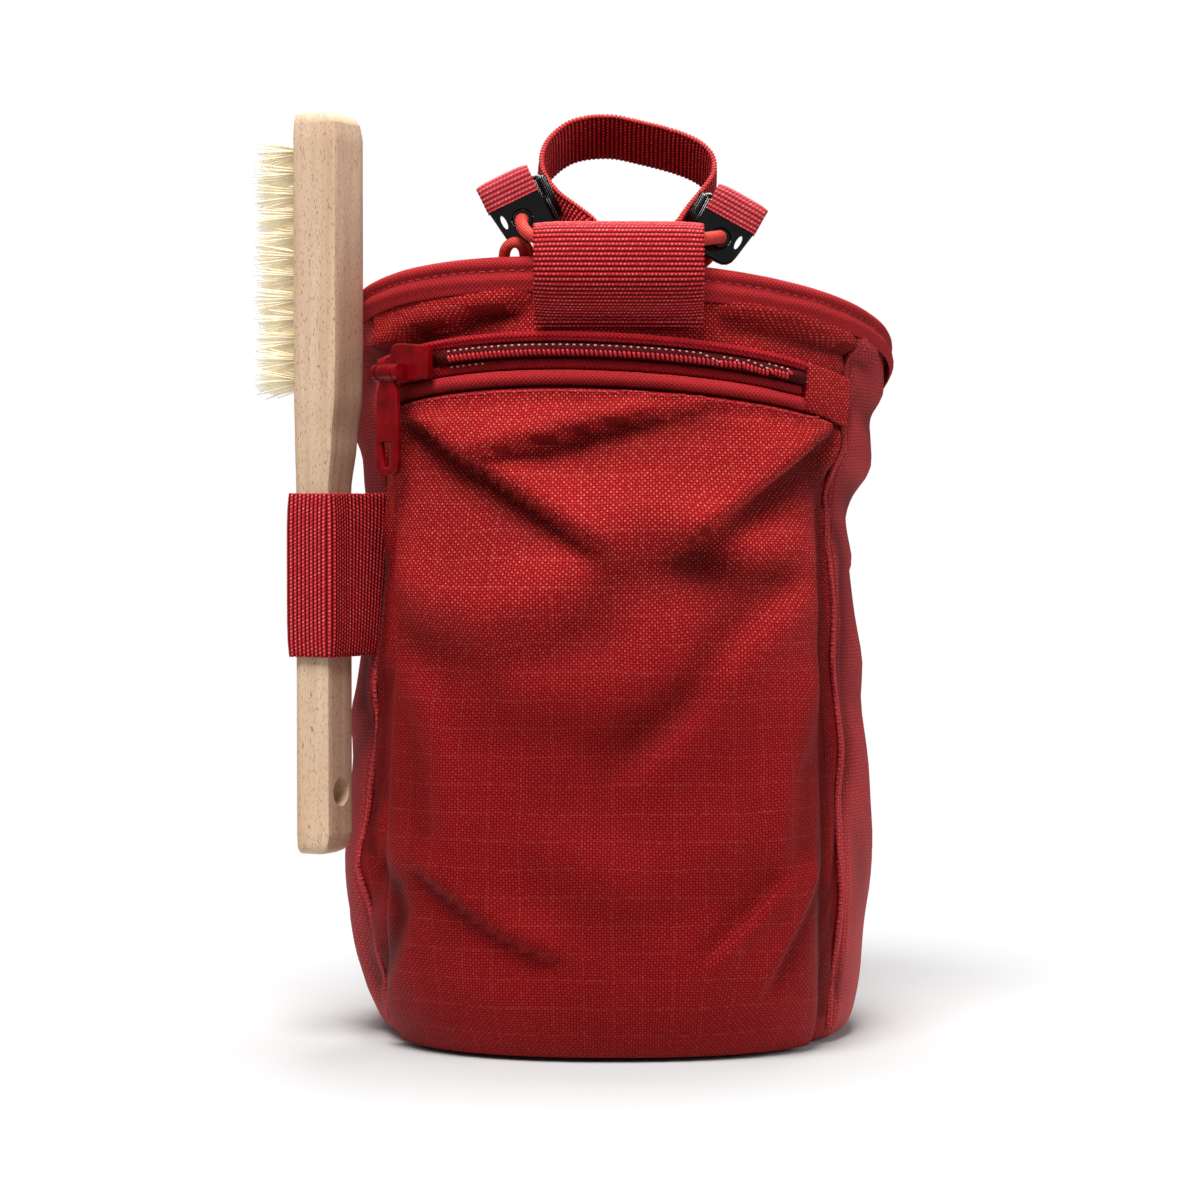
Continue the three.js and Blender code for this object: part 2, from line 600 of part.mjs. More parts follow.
function beltLoop() {
  const hemTop = frontRim.z;
  const hemFace = frontRim.y - HEM_CLOTH - GAP;
  const seat = wallPlace(0, tailShare).y - GAP - BELT_THICKNESS / 2;
  const bulge = hemFace - BELT_LOOP_BULGE - BELT_THICKNESS / 2;
  const top = hemTop + BELT_LOOP_RISE - BELT_THICKNESS / 2;
  const middle = (bulge + beltInside) / 2;
  const route = new THREE.CatmullRomCurve3([
    [seat - 0.4, tailFoot], [seat - 0.6, tailFoot + 3], [bulge + 1.6, tailFoot + 7.5],
    [bulge, tailFoot + 12], [bulge, hemTop + 0.5], [bulge + 1.5, top - 1.6], [middle - 1.8, top],
    [middle + 1.8, top - 0.2], [beltInside - 0.6, hemTop + 2], [beltInside, hemTop - 2],
    [beltInside, hemTop - 8], [beltInside, tailFoot + 2],
  ].map(([y, z]) => new THREE.Vector3(0, y, z)), false, "centripetal");
  const edge = BELT_WEBBING / 2;
  return slab(26, 3, (i, j, side) => {
    const place = route.getPoint(i);
    const tangent = route.getTangent(i);
    const x = THREE.MathUtils.lerp(edge, -edge, j) + BELT_LOOP_CENTRE;
    const lift = (side - 0.5) * BELT_THICKNESS;
    const free = THREE.MathUtils.clamp((hemFace - place.y) / BELT_LOOP_BULGE, 0, 1);
    const follow = wallFollow(x) * (1 - 0.8 * free);
    return [x, place.y - tangent.z * lift + follow, place.z + tangent.y * lift];
  });
}
add("belt_loop", beltLoop(), RED_WEBBING);

// Carrying strap: an arch that leans back, twisting flat where it is sewn inside the mouth
function handleStrap() {
  const lean = degrees(STRAP_LEAN);
  const base = new THREE.Vector3(0, ...STRAP_BASE).add(frontRim);
  const rows = STRAP_ARCH.map(({ across, rise, twist }) => (
    [across, base.y + rise * Math.sin(lean), base.z + rise * Math.cos(lean), twist]));
  const seat = beltInside + (BELT_THICKNESS + STRAP_THICKNESS) / 2 + wallFollow(STRAP_WIDTH + 2) + GAP;
  const foot = (across, z, twist) => [across, seat, z, twist];
  const { right, left } = STRAP_FEET;
  const [top, bottom] = [frontRim.z + STRAP_FEET.top, frontRim.z + STRAP_FEET.bottom];
  rows.unshift(foot(right, bottom, -90), foot(right, top - 3, -90), foot(right + 0.2, top + 3, -62));
  rows.push(foot(left - 0.2, top + 3.4, -82), foot(left, top - 2, -90), foot(left, bottom, -90));
  const places = new THREE.CatmullRomCurve3(rows.map((r) => new THREE.Vector3(r[0], r[1], r[2])));
  const twists = rows.map((r) => r[3]);
  return slab(46, 1, (i, j, side) => {
    const near = places.getPoint(i);
    const k = Math.min(Math.floor(i * (rows.length - 1)), rows.length - 2);
    const t = i * (rows.length - 1) - k;
    const twist = degrees(THREE.MathUtils.lerp(twists[k], twists[k + 1], t * t * (3 - 2 * t)));
    const across = new THREE.Vector3(
      Math.sin(twist), Math.cos(twist) * Math.cos(lean), -Math.cos(twist) * Math.sin(lean));
    const along = places.getTangent(i);
    const face = along.clone().cross(across).normalize();
    const wide = face.clone().cross(along);
    return near.addScaledVector(wide, (1 - j) * STRAP_WIDTH)
      .addScaledVector(face, (side - 0.5) * -STRAP_THICKNESS).toArray();
  });
}
add("handle_strap", handleStrap(), RED_WEBBING);

// Cord plates and the tabs folded over their bars, in a frame with x along the bar and z down the plate
const PLATE_CROWN = -0.6;
const CORD_EYE = { place: [9, 7.6], width: 5.2, height: 5 };
const SLIT = { place: [PLATE_BAR - 2.8, PLATE_HEIGHT / 2], width: 1.2, height: 3.6 };

function plateShape() {
  const foot = (PLATE_BAR - PLATE_FOOT) / 2;
  const corners = [
    [0, PLATE_CROWN], [PLATE_BAR, PLATE_CROWN],
    [PLATE_BAR - foot * 0.8, PLATE_HEIGHT], [foot * 0.6, PLATE_HEIGHT],
  ];
  const round = 3;
  const shape = new THREE.Shape();
  corners.forEach((corner, k) => {
    const here = new THREE.Vector2(...corner);
    const before = new THREE.Vector2(...corners[(k + 3) % 4]).sub(here).setLength(round).add(here);
    const after = new THREE.Vector2(...corners[(k + 1) % 4]).sub(here).setLength(round).add(here);
    if (k === 0) shape.moveTo(before.x, before.y);
    else shape.lineTo(before.x, before.y);
    shape.quadraticCurveTo(here.x, here.y, after.x, after.y);
  });
  return shape;
}

function ovalCut({ place, width, height }) {
  const cut = new THREE.CylinderGeometry(0.5, 0.5, PLATE_THICKNESS * 2, 14).rotateX(Math.PI / 2);
  return solid(cut.scale(width, height, 1).translate(...place, 0));
}

function plate() {
  const blank = solid(bevelled(plateShape(), PLATE_THICKNESS, PLATE_BEVEL, 4));
  return geometryOf(blank.subtract(ovalCut(CORD_EYE)).subtract(ovalCut(SLIT)));
}

function foldedTab() {
  const inner = PLATE_THICKNESS / 2 + GAP;
  const outer = inner + TAB_THICKNESS;
  const crown = PLATE_CROWN - GAP;
  const outline = new THREE.Shape();
  outline.moveTo(TAB_REACH, outer - 0.3);
  outline.lineTo(crown, outer);
  outline.absarc(crown, 0, outer, Math.PI / 2, (3 * Math.PI) / 2, false);
  outline.lineTo(TAB_REACH, -outer + 0.3);
  outline.lineTo(TAB_REACH, -inner);
  outline.lineTo(crown, -inner);
  outline.absarc(crown, 0, inner, (3 * Math.PI) / 2, Math.PI / 2, true);
  outline.lineTo(TAB_REACH, inner);
  const plain = { depth: TAB_LENGTH, bevelEnabled: false, curveSegments: 6 };
  const shape = new THREE.ExtrudeGeometry(outline, plain);
  const turned = new THREE.Matrix4().makeBasis(
    new THREE.Vector3(0, 1, 0), new THREE.Vector3(0, 0, 1), new THREE.Vector3(1, 0, 0));
  return shape.applyMatrix4(turned).translate(PLATE_BAR - TAB_LENGTH - 0.2, 0, 0);
}

const PLATES = [
  { side: "left", corner: [-16.4, 19.9], fall: 25.8, mirror: -1 },
  { side: "right", corner: [21, 15.7], fall: 29, mirror: 1 },
];
for (const { side, corner, fall, mirror } of PLATES) {
  const [s, c] = [Math.sin(degrees(fall)), Math.cos(degrees(fall))];
  const bar = new THREE.Vector3(mirror * c, 0, -s);
  const down = new THREE.Vector3(-mirror * s, 0, -c);
  const frame = new THREE.Matrix4().makeBasis(bar, down, bar.clone().cross(down));
  frame.setPosition(corner[0], frontRim.y + PLATE_SET_BACK, frontRim.z + corner[1]);
  add("buckle_" + side, plate().applyMatrix4(frame), BLACK_PLASTIC);
  add("strap_tab_" + side, foldedTab().applyMatrix4(frame), RED_WEBBING);
}

// Cords
const fromRim = (route) => route.map((p) => new THREE.Vector3(...p).add(frontRim));

function cordRing(route, diameter, sides, steps) {
  const curve = new THREE.CatmullRomCurve3(fromRim(route), true);
  const frames = curve.computeFrenetFrames(steps, true);
  const rings = Array.from({ length: steps }, (_, k) => {
    const centre = curve.getPointAt(k / steps);
    return Array.from({ length: sides }, (_, m) => {
      const angle = (2 * Math.PI * m) / sides;
      return centre.clone().addScaledVector(frames.normals[k], (Math.cos(angle) * diameter) / 2)
        .addScaledVector(frames.binormals[k], (Math.sin(angle) * diameter) / 2).toArray();
    });
  });
  return loft(rings, true);
}

function cordLength(route, diameter, sides, steps) {
  const section = new THREE.Shape().absarc(0, 0, diameter / 2, 0, 2 * Math.PI);
  const curve = new THREE.CatmullRomCurve3(fromRim(route));
  return new THREE.ExtrudeGeometry(section, { steps, extrudePath: curve, curveSegments: sides });
}
add("tie_cord", cordRing(TIE_CORD_ROUTE, TIE_CORD_DIAMETER, 8, 38), RED_CORD);
add("rim_cord", cordLength(RIM_CORD_ROUTE, RIM_CORD_DIAMETER, 4, 14), RED_CORD);

// Brush
const brush = new THREE.Group();
brush.position.set(-BAG_WIDTH / 2 - BRUSH_OUT, BRUSH_BACK - BAG_DEPTH / 2, BRUSH_FOOT);
brush.rotation.z = degrees(BRUSH_TURN);
model.add(brush);

// Rounded rectangle whose face towards the bristles stays in one plane, grown outwards by an offset
function handleRing(thick, wide, z, offset = 0, sides = 20) {
  return Array.from({ length: sides }, (_, k) => {
    const angle = (2 * Math.PI * (k + 0.5)) / sides;
    const [s, c] = [Math.sin(angle), Math.cos(angle)];
    const radius = (Math.abs(s) ** HANDLE_POWER + Math.abs(c) ** HANDLE_POWER) ** (-1 / HANDLE_POWER);
    const middle = (thick - BRUSH_THICKNESS) / 2;
    return [middle + (thick / 2 + offset) * radius * c, (wide / 2 + offset) * radius * s, z];
  });
}

function brushHandle() {
  const rings = BRUSH_SECTIONS.map(({ height, thick, wide }) => (
    handleRing(thick * BRUSH_THICKNESS, wide * BRUSH_WIDTH, height * BRUSH_LENGTH)));
  const hole = rod(HANG_HOLE, BRUSH_THICKNESS * 3, [0, 0, HANG_HOLE_HEIGHT], 20);
  return solid(loft(rings, false)).subtract(hole);
}

function tuft(place, lean, spread) {
  const sides = 5;
  const ring = (out, radius, shift) => Array.from({ length: sides }, (_, k) => {
    const angle = (-2 * Math.PI * k) / sides;
    const [y, z] = [place[0] + shift[0], place[1] + shift[1]];
    return [-out, y + radius * Math.cos(angle), z + radius * Math.sin(angle)];
  });
  return solid(loft([ring(0, TUFT_ROOT, [0, 0]), ring(BRISTLE_LENGTH, spread, lean)], false));
}

function bristles() {
  const pitch = (BRISTLE_TO - BRISTLE_FROM) / TUFT_ROWS;
  const across = (BRUSH_WIDTH * 0.64) / (TUFT_COLUMNS - 1);
  let body;
  for (let row = 0; row < TUFT_ROWS; row++) {
    for (let column = 0; column < TUFT_COLUMNS; column++) {
      const y = (column - (TUFT_COLUMNS - 1) / 2) * across;
      const z = BRISTLE_FROM + (row + 0.5) * pitch;
      const wander = Math.sin(row * 2.4 + column * 1.7);
      const one = tuft([y, z], [y * 0.12 + wander * 0.3, wander * 0.5], pitch * 0.62);
      body = body ? body.add(one) : one;
    }
  }
  return body.translate([-BRUSH_THICKNESS / 2 - GAP, 0, 0]);
}

add("brush_handle", geometryOf(brushHandle()), BEECH, brush);
add("brush_bristles", geometryOf(bristles()), BRISTLE, brush);

// Sleeve: webbing round the handle, with a tail sewn into the left front seam
function brushSleeve() {
  const neck = rowAt(BRUSH_SECTIONS, 0.4);
  const [thick, wide] = [neck.thick * BRUSH_THICKNESS, neck.wide * BRUSH_WIDTH];
  const top = SLEEVE_FOOT + SLEEVE_HEIGHT;
  const placed = new THREE.Matrix4().makeRotationZ(degrees(BRUSH_TURN))
    .setPosition(brush.position.x, brush.position.y, 0);
  const ring = (offset, z) => handleRing(thick, wide, z, offset, 24)
    .map((p) => new THREE.Vector3(...p).applyMatrix4(placed).toArray());
  const bore = SLEEVE_CLEARANCE;
  const outer = solid(loft([ring(bore + SLEEVE_CLOTH, SLEEVE_FOOT), ring(bore + SLEEVE_CLOTH, top)], false));
  const inner = solid(loft([ring(bore, SLEEVE_FOOT - 1), ring(bore, top + 1)], false));
  const core = new THREE.Vector3((thick - BRUSH_THICKNESS) / 2 + thick / 2, 0, 0).applyMatrix4(placed);
  const tail = slab(3, 8, (i, j, side) => {
    const z = THREE.MathUtils.lerp(SLEEVE_FOOT, top, j);
    const seat = onWall(-SEAM_ANGLE, (z - 4) / BAG_HEIGHT, SLEEVE_CLEARANCE + GAP);
    const across = new THREE.Vector3(seat.y - core.y, core.x - seat.x, 0).setLength(SLEEVE_CLOTH);
    const place = new THREE.Vector3(core.x, core.y, z).lerp(new THREE.Vector3(seat.x, seat.y, z), i);
    return place.addScaledVector(across, side - 0.5).toArray();
  });
  return outer.add(solid(tail)).subtract(inner);
}
add("brush_sleeve", geometryOf(brushSleeve()), RED_WEBBING);

export default model;
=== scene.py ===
import math
import random

import bmesh
import bpy
from mathutils import Matrix, Vector, noise
from mathutils.bvhtree import BVHTree


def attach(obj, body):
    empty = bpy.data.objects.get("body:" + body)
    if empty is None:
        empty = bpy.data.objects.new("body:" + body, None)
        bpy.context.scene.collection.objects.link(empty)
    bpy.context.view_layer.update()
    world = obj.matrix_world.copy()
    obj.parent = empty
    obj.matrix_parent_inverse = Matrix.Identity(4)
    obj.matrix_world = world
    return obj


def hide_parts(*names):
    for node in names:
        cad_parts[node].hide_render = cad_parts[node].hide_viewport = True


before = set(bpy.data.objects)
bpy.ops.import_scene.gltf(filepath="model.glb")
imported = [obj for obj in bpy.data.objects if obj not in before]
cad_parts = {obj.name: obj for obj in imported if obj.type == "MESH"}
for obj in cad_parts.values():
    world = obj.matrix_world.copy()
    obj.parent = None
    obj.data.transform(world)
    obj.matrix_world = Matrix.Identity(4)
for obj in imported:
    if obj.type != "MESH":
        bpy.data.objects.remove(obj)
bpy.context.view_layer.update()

MM = 0.001
ROUND = 61 * MM  # radius that turns an angle round the bag into cloth length
AXIS_FREE = 5 * MM  # this near to the bag's axis, no way leads out of it
RAY_START = 0.3  # rays towards the bag start this far from its axis (m)
MERGE = 0.004 * MM  # points of the part's loose triangles closer than this are one
WELD = 0.002 * MM  # the same for the points of a new piece
SHARP_EDGE = math.radians(50)  # edges sharper than this aren't shaded smooth

# Sizes that the webbing, the plates and the brush share with the part
RIB_PITCH = 1.12 * MM
RIB_HEIGHT = 0.26 * MM
RIB_ROWS = 5  # rows of points for each rib
WEBBING_THICKNESS = 1.5 * MM
TAB_THICKNESS = 1.3 * MM
BRUSH_FOOT = Vector((-68, -34, 46)) * MM
BRUSH_TURN = math.radians(-27)
BRUSH_LENGTH = 177 * MM
BRUSH_THICK = 12.2 * MM
BRUSH_WIDE = 13.6 * MM
HANDLE_POWER = 12  # 2 is an oval section, more is boxier
TUFTS = (12, 4)  # along the head and across it
TUFT_REACH = (111 * MM, 170 * MM)  # from the handle's foot
TUFT_SPACING = 2.9 * MM
HAIRS = 58  # in each tuft
HAIR_LENGTH = 11.4  # mm
HAIR_RADII = (0.2 * MM, 0.14 * MM)  # root and tip, thicker than real so that each hair shows
SEAMS = (-64, 59)  # side seams, degrees round from the front
SLEEVE_HEIGHTS = (93.4 * MM, 132.4 * MM)
SLEEVE_ROOM = 1.35 * MM  # from the handle to the middle of the sleeve's webbing
HEM_GROOVE = 3.4 * MM  # the hem's stitches lie this far below its top
HANG_HOLE = (7 * MM, 61 * MM)  # diameter, and height above the ground

# Belt loop's route from its sewn tail to the inside of the mouth: y of both edges, and height (mm)
BELT_EDGES = (20.9, -18.3)  # x of the right and the left edge (mm)
BELT_ROUTE = [
    (-57.4, -57.9, 170.9), (-57.6, -58.1, 173.2), (-60.2, -60.6, 175.2), (-62.9, -63.2, 176.9),
    (-66.2, -66.3, 180.7), (-67.0, -67.2, 184.8), (-66.7, -66.8, 189.1), (-64.9, -65.1, 192.7),
    (-61.2, -61.5, 194.2), (-57.3, -57.9, 194.1), (-53.4, -54.0, 191.4), (-51.6, -52.1, 187.7),
    (-51.4, -52.0, 183.7), (-51.4, -52.0, 178.5), (-51.4, -52.0, 172.9),
]

# Carrying strap's route, right foot to left foot: far edge, near edge (mm)
STRAP_RAILS = [
    (-0.4, -50.4, 177.0, 13.6, -50.4, 177.0), (-0.3, -50.2, 182.0, 13.6, -50.4, 182.0),
    (1.2, -47.5, 187.2, 13.8, -50.7, 187.0), (4.4, -44.6, 189.4, 14.3, -52.0, 191.8),
    (9.4, -41.3, 190.4, 15.4, -52.2, 195.7), (14.9, -37.5, 192.2, 17.7, -49.0, 199.5),
    (20.7, -34.0, 195.6, 21.4, -45.0, 204.3), (23.8, -30.8, 199.5, 23.9, -41.5, 208.4),
    (23.7, -27.3, 203.7, 23.7, -38.0, 212.7), (20.8, -24.2, 207.3, 20.8, -35.0, 216.3),
    (15.3, -21.8, 210.1, 15.3, -32.6, 219.1), (7.1, -19.9, 212.5, 7.1, -30.6, 221.5),
    (-0.9, -18.4, 214.2, -0.9, -29.1, 223.2), (-9.1, -19.4, 213.1, -9.1, -30.1, 222.1),
    (-14.6, -22.9, 208.9, -14.6, -33.6, 217.9), (-17.3, -27.0, 203.9, -16.8, -37.8, 212.9),
    (-17.8, -31.3, 199.0, -16.2, -41.6, 208.3), (-16.0, -36.7, 193.8, -13.0, -45.7, 203.5),
    (-13.6, -41.6, 190.4, -8.3, -48.9, 199.7), (-12.8, -45.8, 189.2, -4.3, -51.0, 196.4),
    (-14.4, -48.2, 188.6, -1.9, -51.2, 192.5), (-15.2, -49.6, 186.6, -1.2, -50.3, 187.5),
    (-15.2, -50.4, 182.7, -1.2, -50.4, 182.8), (-15.2, -50.4, 177.0, -1.2, -50.4, 177.0),
]

# Plates in the part: outer corner (x, z), how far the bar falls, and which way it points
PLATES = [
    ("left", (-16.4, 207.4), 25.8, -1),
    ("right", (21.0, 203.2), 29.0, 1),
]
PLATE_PLACE = -48.8 * MM
EYE_PLACE = (9, 7.6)  # along the bar and below it (mm)

# Brush sections: share of the length, thickness and width as shares of the head's
BRUSH_SECTIONS = [
    (0.0, 0.5, 0.52), (0.004, 0.63, 0.68), (0.01, 0.72, 0.78), (0.025, 0.77, 0.83),
    (0.3, 0.77, 0.83), (0.49, 0.77, 0.83), (0.56, 0.88, 0.92), (0.62, 0.98, 0.99),
    (0.68, 1.0, 1.0), (0.965, 1.0, 1.0), (0.985, 0.96, 0.94), (0.996, 0.86, 0.84),
    (1.0, 0.74, 0.68),
]

# Pocket folds seen from the front (mm): points along the steep side, half width, height of the crest
POCKET_FOLDS = [
    ([(-52, 152), (-44, 147), (-37.3, 141.6), (-28, 135.6), (-19, 129.6), (-8, 122.6)], 4.4, 3.4),
    ([(-26, 142.4), (-15, 144.4), (-5, 147.4), (8, 150.4), (22, 153.2)], 4.4, 3.0),
    ([(52, 146.5), (45, 141), (38, 135.6), (30, 129.6), (22, 124.2)], 4.8, 3.4),
    ([(-43, 42), (-35, 36), (-26, 30), (-17, 26)], 3.4, 1.7),
    ([(38, 40), (31, 33), (24, 26)], 3, -1.4),
    ([(48, 40), (43, 30), (38, 21)], 3, 1.5),
]
POCKET_SWELLS = [
    ([(-54, 106), (-42, 101), (-30, 98.4), (-18, 101), (-9, 108), (-3, 116), (8, 119.6), (20, 120)],
     9, 2.1),
    ([(43, 110), (30, 98), (18, 82), (8, 72)], 6, -1.3),
    ([(20, 119), (31, 116), (41, 115)], 6, 1.2),
    ([(-50, 88), (-44, 72), (-42, 56)], 5, 1.0),
    ([(-20, 84), (-4, 80), (12, 86)], 9, 1.1),
    ([(50, 84), (44, 68), (42, 50)], 5, 1.0),
    ([(-12, 44), (4, 39), (20, 44)], 8, 0.9),
]

# Wall folds: points in degrees round from the front and height (mm), half width, height of the crest
YOKE_FOLDS = [
    ([(-70, 164.5), (-58, 167.5), (-42, 172), (-24, 176)], 3.2, 2.5),
    ([(28, 173.6), (40, 171.6), (52, 168.6), (66, 164.5)], 2.6, 2.4),
]
WALL_FOLDS = [
    ([(57, 143), (66, 139), (78, 136), (95, 134)], 6, 1.5),
    ([(60, 160), (74, 155), (88, 154)], 4.6, 1.0),
    ([(62, 122), (72, 126), (86, 127)], 7, -0.3),
    ([(60, 96), (72, 88), (84, 86)], 8, 0.7),
    ([(64, 60), (72, 50), (80, 36)], 7, 0.8),
    ([(-62, 150), (-74, 146), (-90, 145)], 6, 1.0),
    ([(-60, 88), (-68, 78), (-78, 74)], 6, 1.1),
    ([(-58, 46), (-64, 38), (-70, 26), (-72, 14)], 5, 1.6),
    ([(-60, 120), (-74, 112), (-92, 110)], 7, 1.0),
    ([(104, 150), (122, 136), (140, 132)], 6, 2.0),
    ([(96, 112), (116, 104), (138, 108)], 6, 1.8),
    ([(150, 146), (172, 132), (196, 130), (214, 138)], 7, 2.0),
    ([(128, 84), (152, 76), (176, 80)], 7, 1.8),
    ([(196, 106), (218, 98), (240, 104)], 6, 1.9),
    ([(178, 52), (204, 42), (226, 48)], 7, 1.6),
    ([(232, 140), (246, 128), (258, 126)], 5, 1.7),
    ([(110, 54), (130, 42), (148, 40)], 6, 1.6),
    ([(236, 66), (252, 54), (266, 52)], 5, 1.5),
]

# Deep creases seen from the front (mm): points, half width, how much painted shade, how deep
CREASES = [
    ([(57, 153), (53, 146), (49.2, 139), (50.4, 118), (51, 70), (50.2, 40), (50.6, 8)], 1.7, 1.0, 1.3),
    ([(53, 126), (56.2, 116), (56.4, 71), (54.8, 47), (52.6, 35), (54.8, 12)], 1.5, 0.9, 0.9),
    ([(-61.5, 100), (-60.8, 85), (-58.8, 71), (-57.6, 46), (-53.5, 42)], 1.7, 1.0, 1.0),
    ([(-52.1, 40), (-50.5, 33), (-52.6, 26), (-57, 15)], 2.6, 1.0, 1.6),
    ([(-56, 140), (-55.8, 110), (-55.5, 60)], 1.6, 0.7, 0.8),
    ([(49.5, 142), (51.5, 131)], 3.0, 1.0, 1.8),
]

random.seed(11)


def linear(code):
    """Linear colour from an sRGB hex value."""
    parts = [int(code[k:k + 2], 16) / 255 for k in (1, 3, 5)]
    return [p / 12.92 if p <= 0.04045 else ((p + 0.055) / 1.055) ** 2.4 for p in parts] + [1]


def node(tree, kind, inputs=(), **settings):
    """Adds a shader node; inputs, by order or name, are plain values, nodes or their outputs."""
    made = tree.nodes.new("ShaderNode" + kind)
    for key, value in settings.items():
        setattr(made, key, value)
    sockets = [s for s in made.inputs if s.enabled]
    pairs = inputs.items() if isinstance(inputs, dict) else enumerate(inputs)
    for key, value in pairs:
        socket = sockets[key] if isinstance(key, int) else next(s for s in sockets if s.name == key)
        if isinstance(value, bpy.types.Node):
            value = next(s for s in value.outputs if s.enabled)
        if isinstance(value, bpy.types.NodeSocket):
            tree.links.new(value, socket)
        else:
            socket.default_value = value
    return made


def empty_tree(owner):
    """The node tree of a material or world, with nothing in it."""
    owner.use_nodes = True
    owner.node_tree.nodes.clear()
    return owner.node_tree


def begin(name, **sockets):
    """A new material with its node tree and Principled shader."""
    made = bpy.data.materials.new(name)
    tree = empty_tree(made)
    inputs = {key.replace("_", " "): value for key, value in sockets.items()}
    shader = node(tree, "BsdfPrincipled", inputs)
    node(tree, "OutputMaterial", [shader])
    return made, tree, shader


def finish_material(tree, shader, colour, height, distance):
    """Joins a colour and a relief of a given height to the shader."""
    bump = node(tree, "Bump", {"Strength": 1.0, "Distance": distance, "Height": height})
    for value, socket in ((colour, "Base Color"), (bump, "Normal")):
        output = next(s for s in value.outputs if s.enabled)
        tree.links.new(output, shader.inputs[socket])


# ---- Materials

SHADE_HEIGHTS = (78.0, 118.0)  # painted shade: cloth is darkest below the first and brightest above the second (mm), as under light from above


def woven(name, base, dark, glint_colour, pitch, shine, grid=0.0, sheen=0.03, fade=1.0):
    """Plain-woven nylon. The eye sees painted highlights as dots of light on raised threads, painted
    shade in the pits between them, a broken grid of thicker ripstop threads (every 6.5 mm, its real size)
    tinted towards the highlight colour, and painted shade that makes the cloth duller and darker below."""
    made, tree, shader = begin(name, Roughness=0.6, Sheen_Weight=sheen, Sheen_Roughness=0.4,
                               Sheen_Tint=linear("#c8403c"), Specular_IOR_Level=0.25,
                               Specular_Tint=linear("#ff5a50"))
    # Threads wander a little, so that the weave isn't ruled
    uv = node(tree, "UVMap", uv_map="cloth")
    drift = node(tree, "TexNoise", {"Vector": uv, "Scale": 0.05, "Detail": 2.0})
    centred = node(tree, "VectorMath", [drift.outputs["Color"], (0.5, 0.5, 0.5)], operation="SUBTRACT")
    shift = node(tree, "VectorMath", {"Vector": centred, "Scale": 2.6}, operation="SCALE")
    axes = node(tree, "SeparateXYZ", [node(tree, "VectorMath", [uv, shift], operation="ADD")])
    # Raised threads, which take painted highlights, and pits, which take painted shade, one wave for each
    # thread
    turns = [node(tree, "Math", [axes.outputs[k], math.pi / pitch], operation="MULTIPLY") for k in (0, 1)]
    waves = [node(tree, "Math", [turn], operation="SINE") for turn in turns]
    weave = node(tree, "Math", waves, operation="MULTIPLY")
    size = node(tree, "Math", [weave], operation="ABSOLUTE")
    raised = node(tree, "MapRange", [weave, 0.25, 0.95, 0.0, 1.0])
    pits = node(tree, "MapRange", [size, 0.0, 0.4, 0.0, 1.0])
    # Painted glints are uneven, and fade out below where painted shade falls
    uneven = node(tree, "TexNoise", {"Vector": uv, "Scale": 0.9, "Detail": 3.0})
    glint = node(tree, "MapRange", [uneven, 0.38, 0.62, 0.1, 1.15])
    # Painted shade, as under light from above: the cloth's value darkens below, and its painted glints
    # thin out there
    lower, matt = [node(tree, "MapRange", [axes.outputs[1], *SHADE_HEIGHTS, share, 1.0])
                   for share in (fade, fade ** 3)]
    lit = raised
    for share in (glint, matt, shine):
        lit = node(tree, "Math", [lit, share], operation="MULTIPLY")
    colour = node(tree, "Mix", [pits, linear(dark), linear(base)], data_type="RGBA")
    colour = node(tree, "Mix", [lit, colour, linear(glint_colour)], data_type="RGBA")
    relief = weave
    if grid:
        lines = []
        for k, strength in ((0, 0.07), (1, 0.1)):
            near = node(tree, "Math", [axes.outputs[k], grid / 2], operation="PINGPONG")
            lines.append(node(tree, "MapRange", [near, 0.06, 0.3, strength, 0.0]))
        line = node(tree, "Math", lines, operation="MAXIMUM")
        line = node(tree, "Math", [line, glint], operation="MULTIPLY")
        colour = node(tree, "Mix", [line, colour, linear(glint_colour)], data_type="RGBA")
        relief = node(tree, "Math", [weave, line], operation="ADD")
    # Patches of tone, and painted shade in the hollows that the folds keep and in the creases
    patches = node(tree, "TexNoise", {"Vector": uv, "Scale": 0.035, "Detail": 3.0})
    tone = node(tree, "MapRange", [patches, 0.3, 0.7, 0.86, 1.1])
    hollow_shade = node(tree, "Attribute", attribute_name="hollow_shade")
    deep = node(tree, "MapRange", [hollow_shade.outputs["Fac"], 0.0, 1.0, 1.0, 0.34])
    value = node(tree, "Math", [tone, lower], operation="MULTIPLY")
    value = node(tree, "Math", [value, deep], operation="MULTIPLY")
    colour = node(tree, "HueSaturation", {"Color": colour, "Value": value})
    finish_material(tree, shader, colour, relief, 0.08 * MM)
    return made


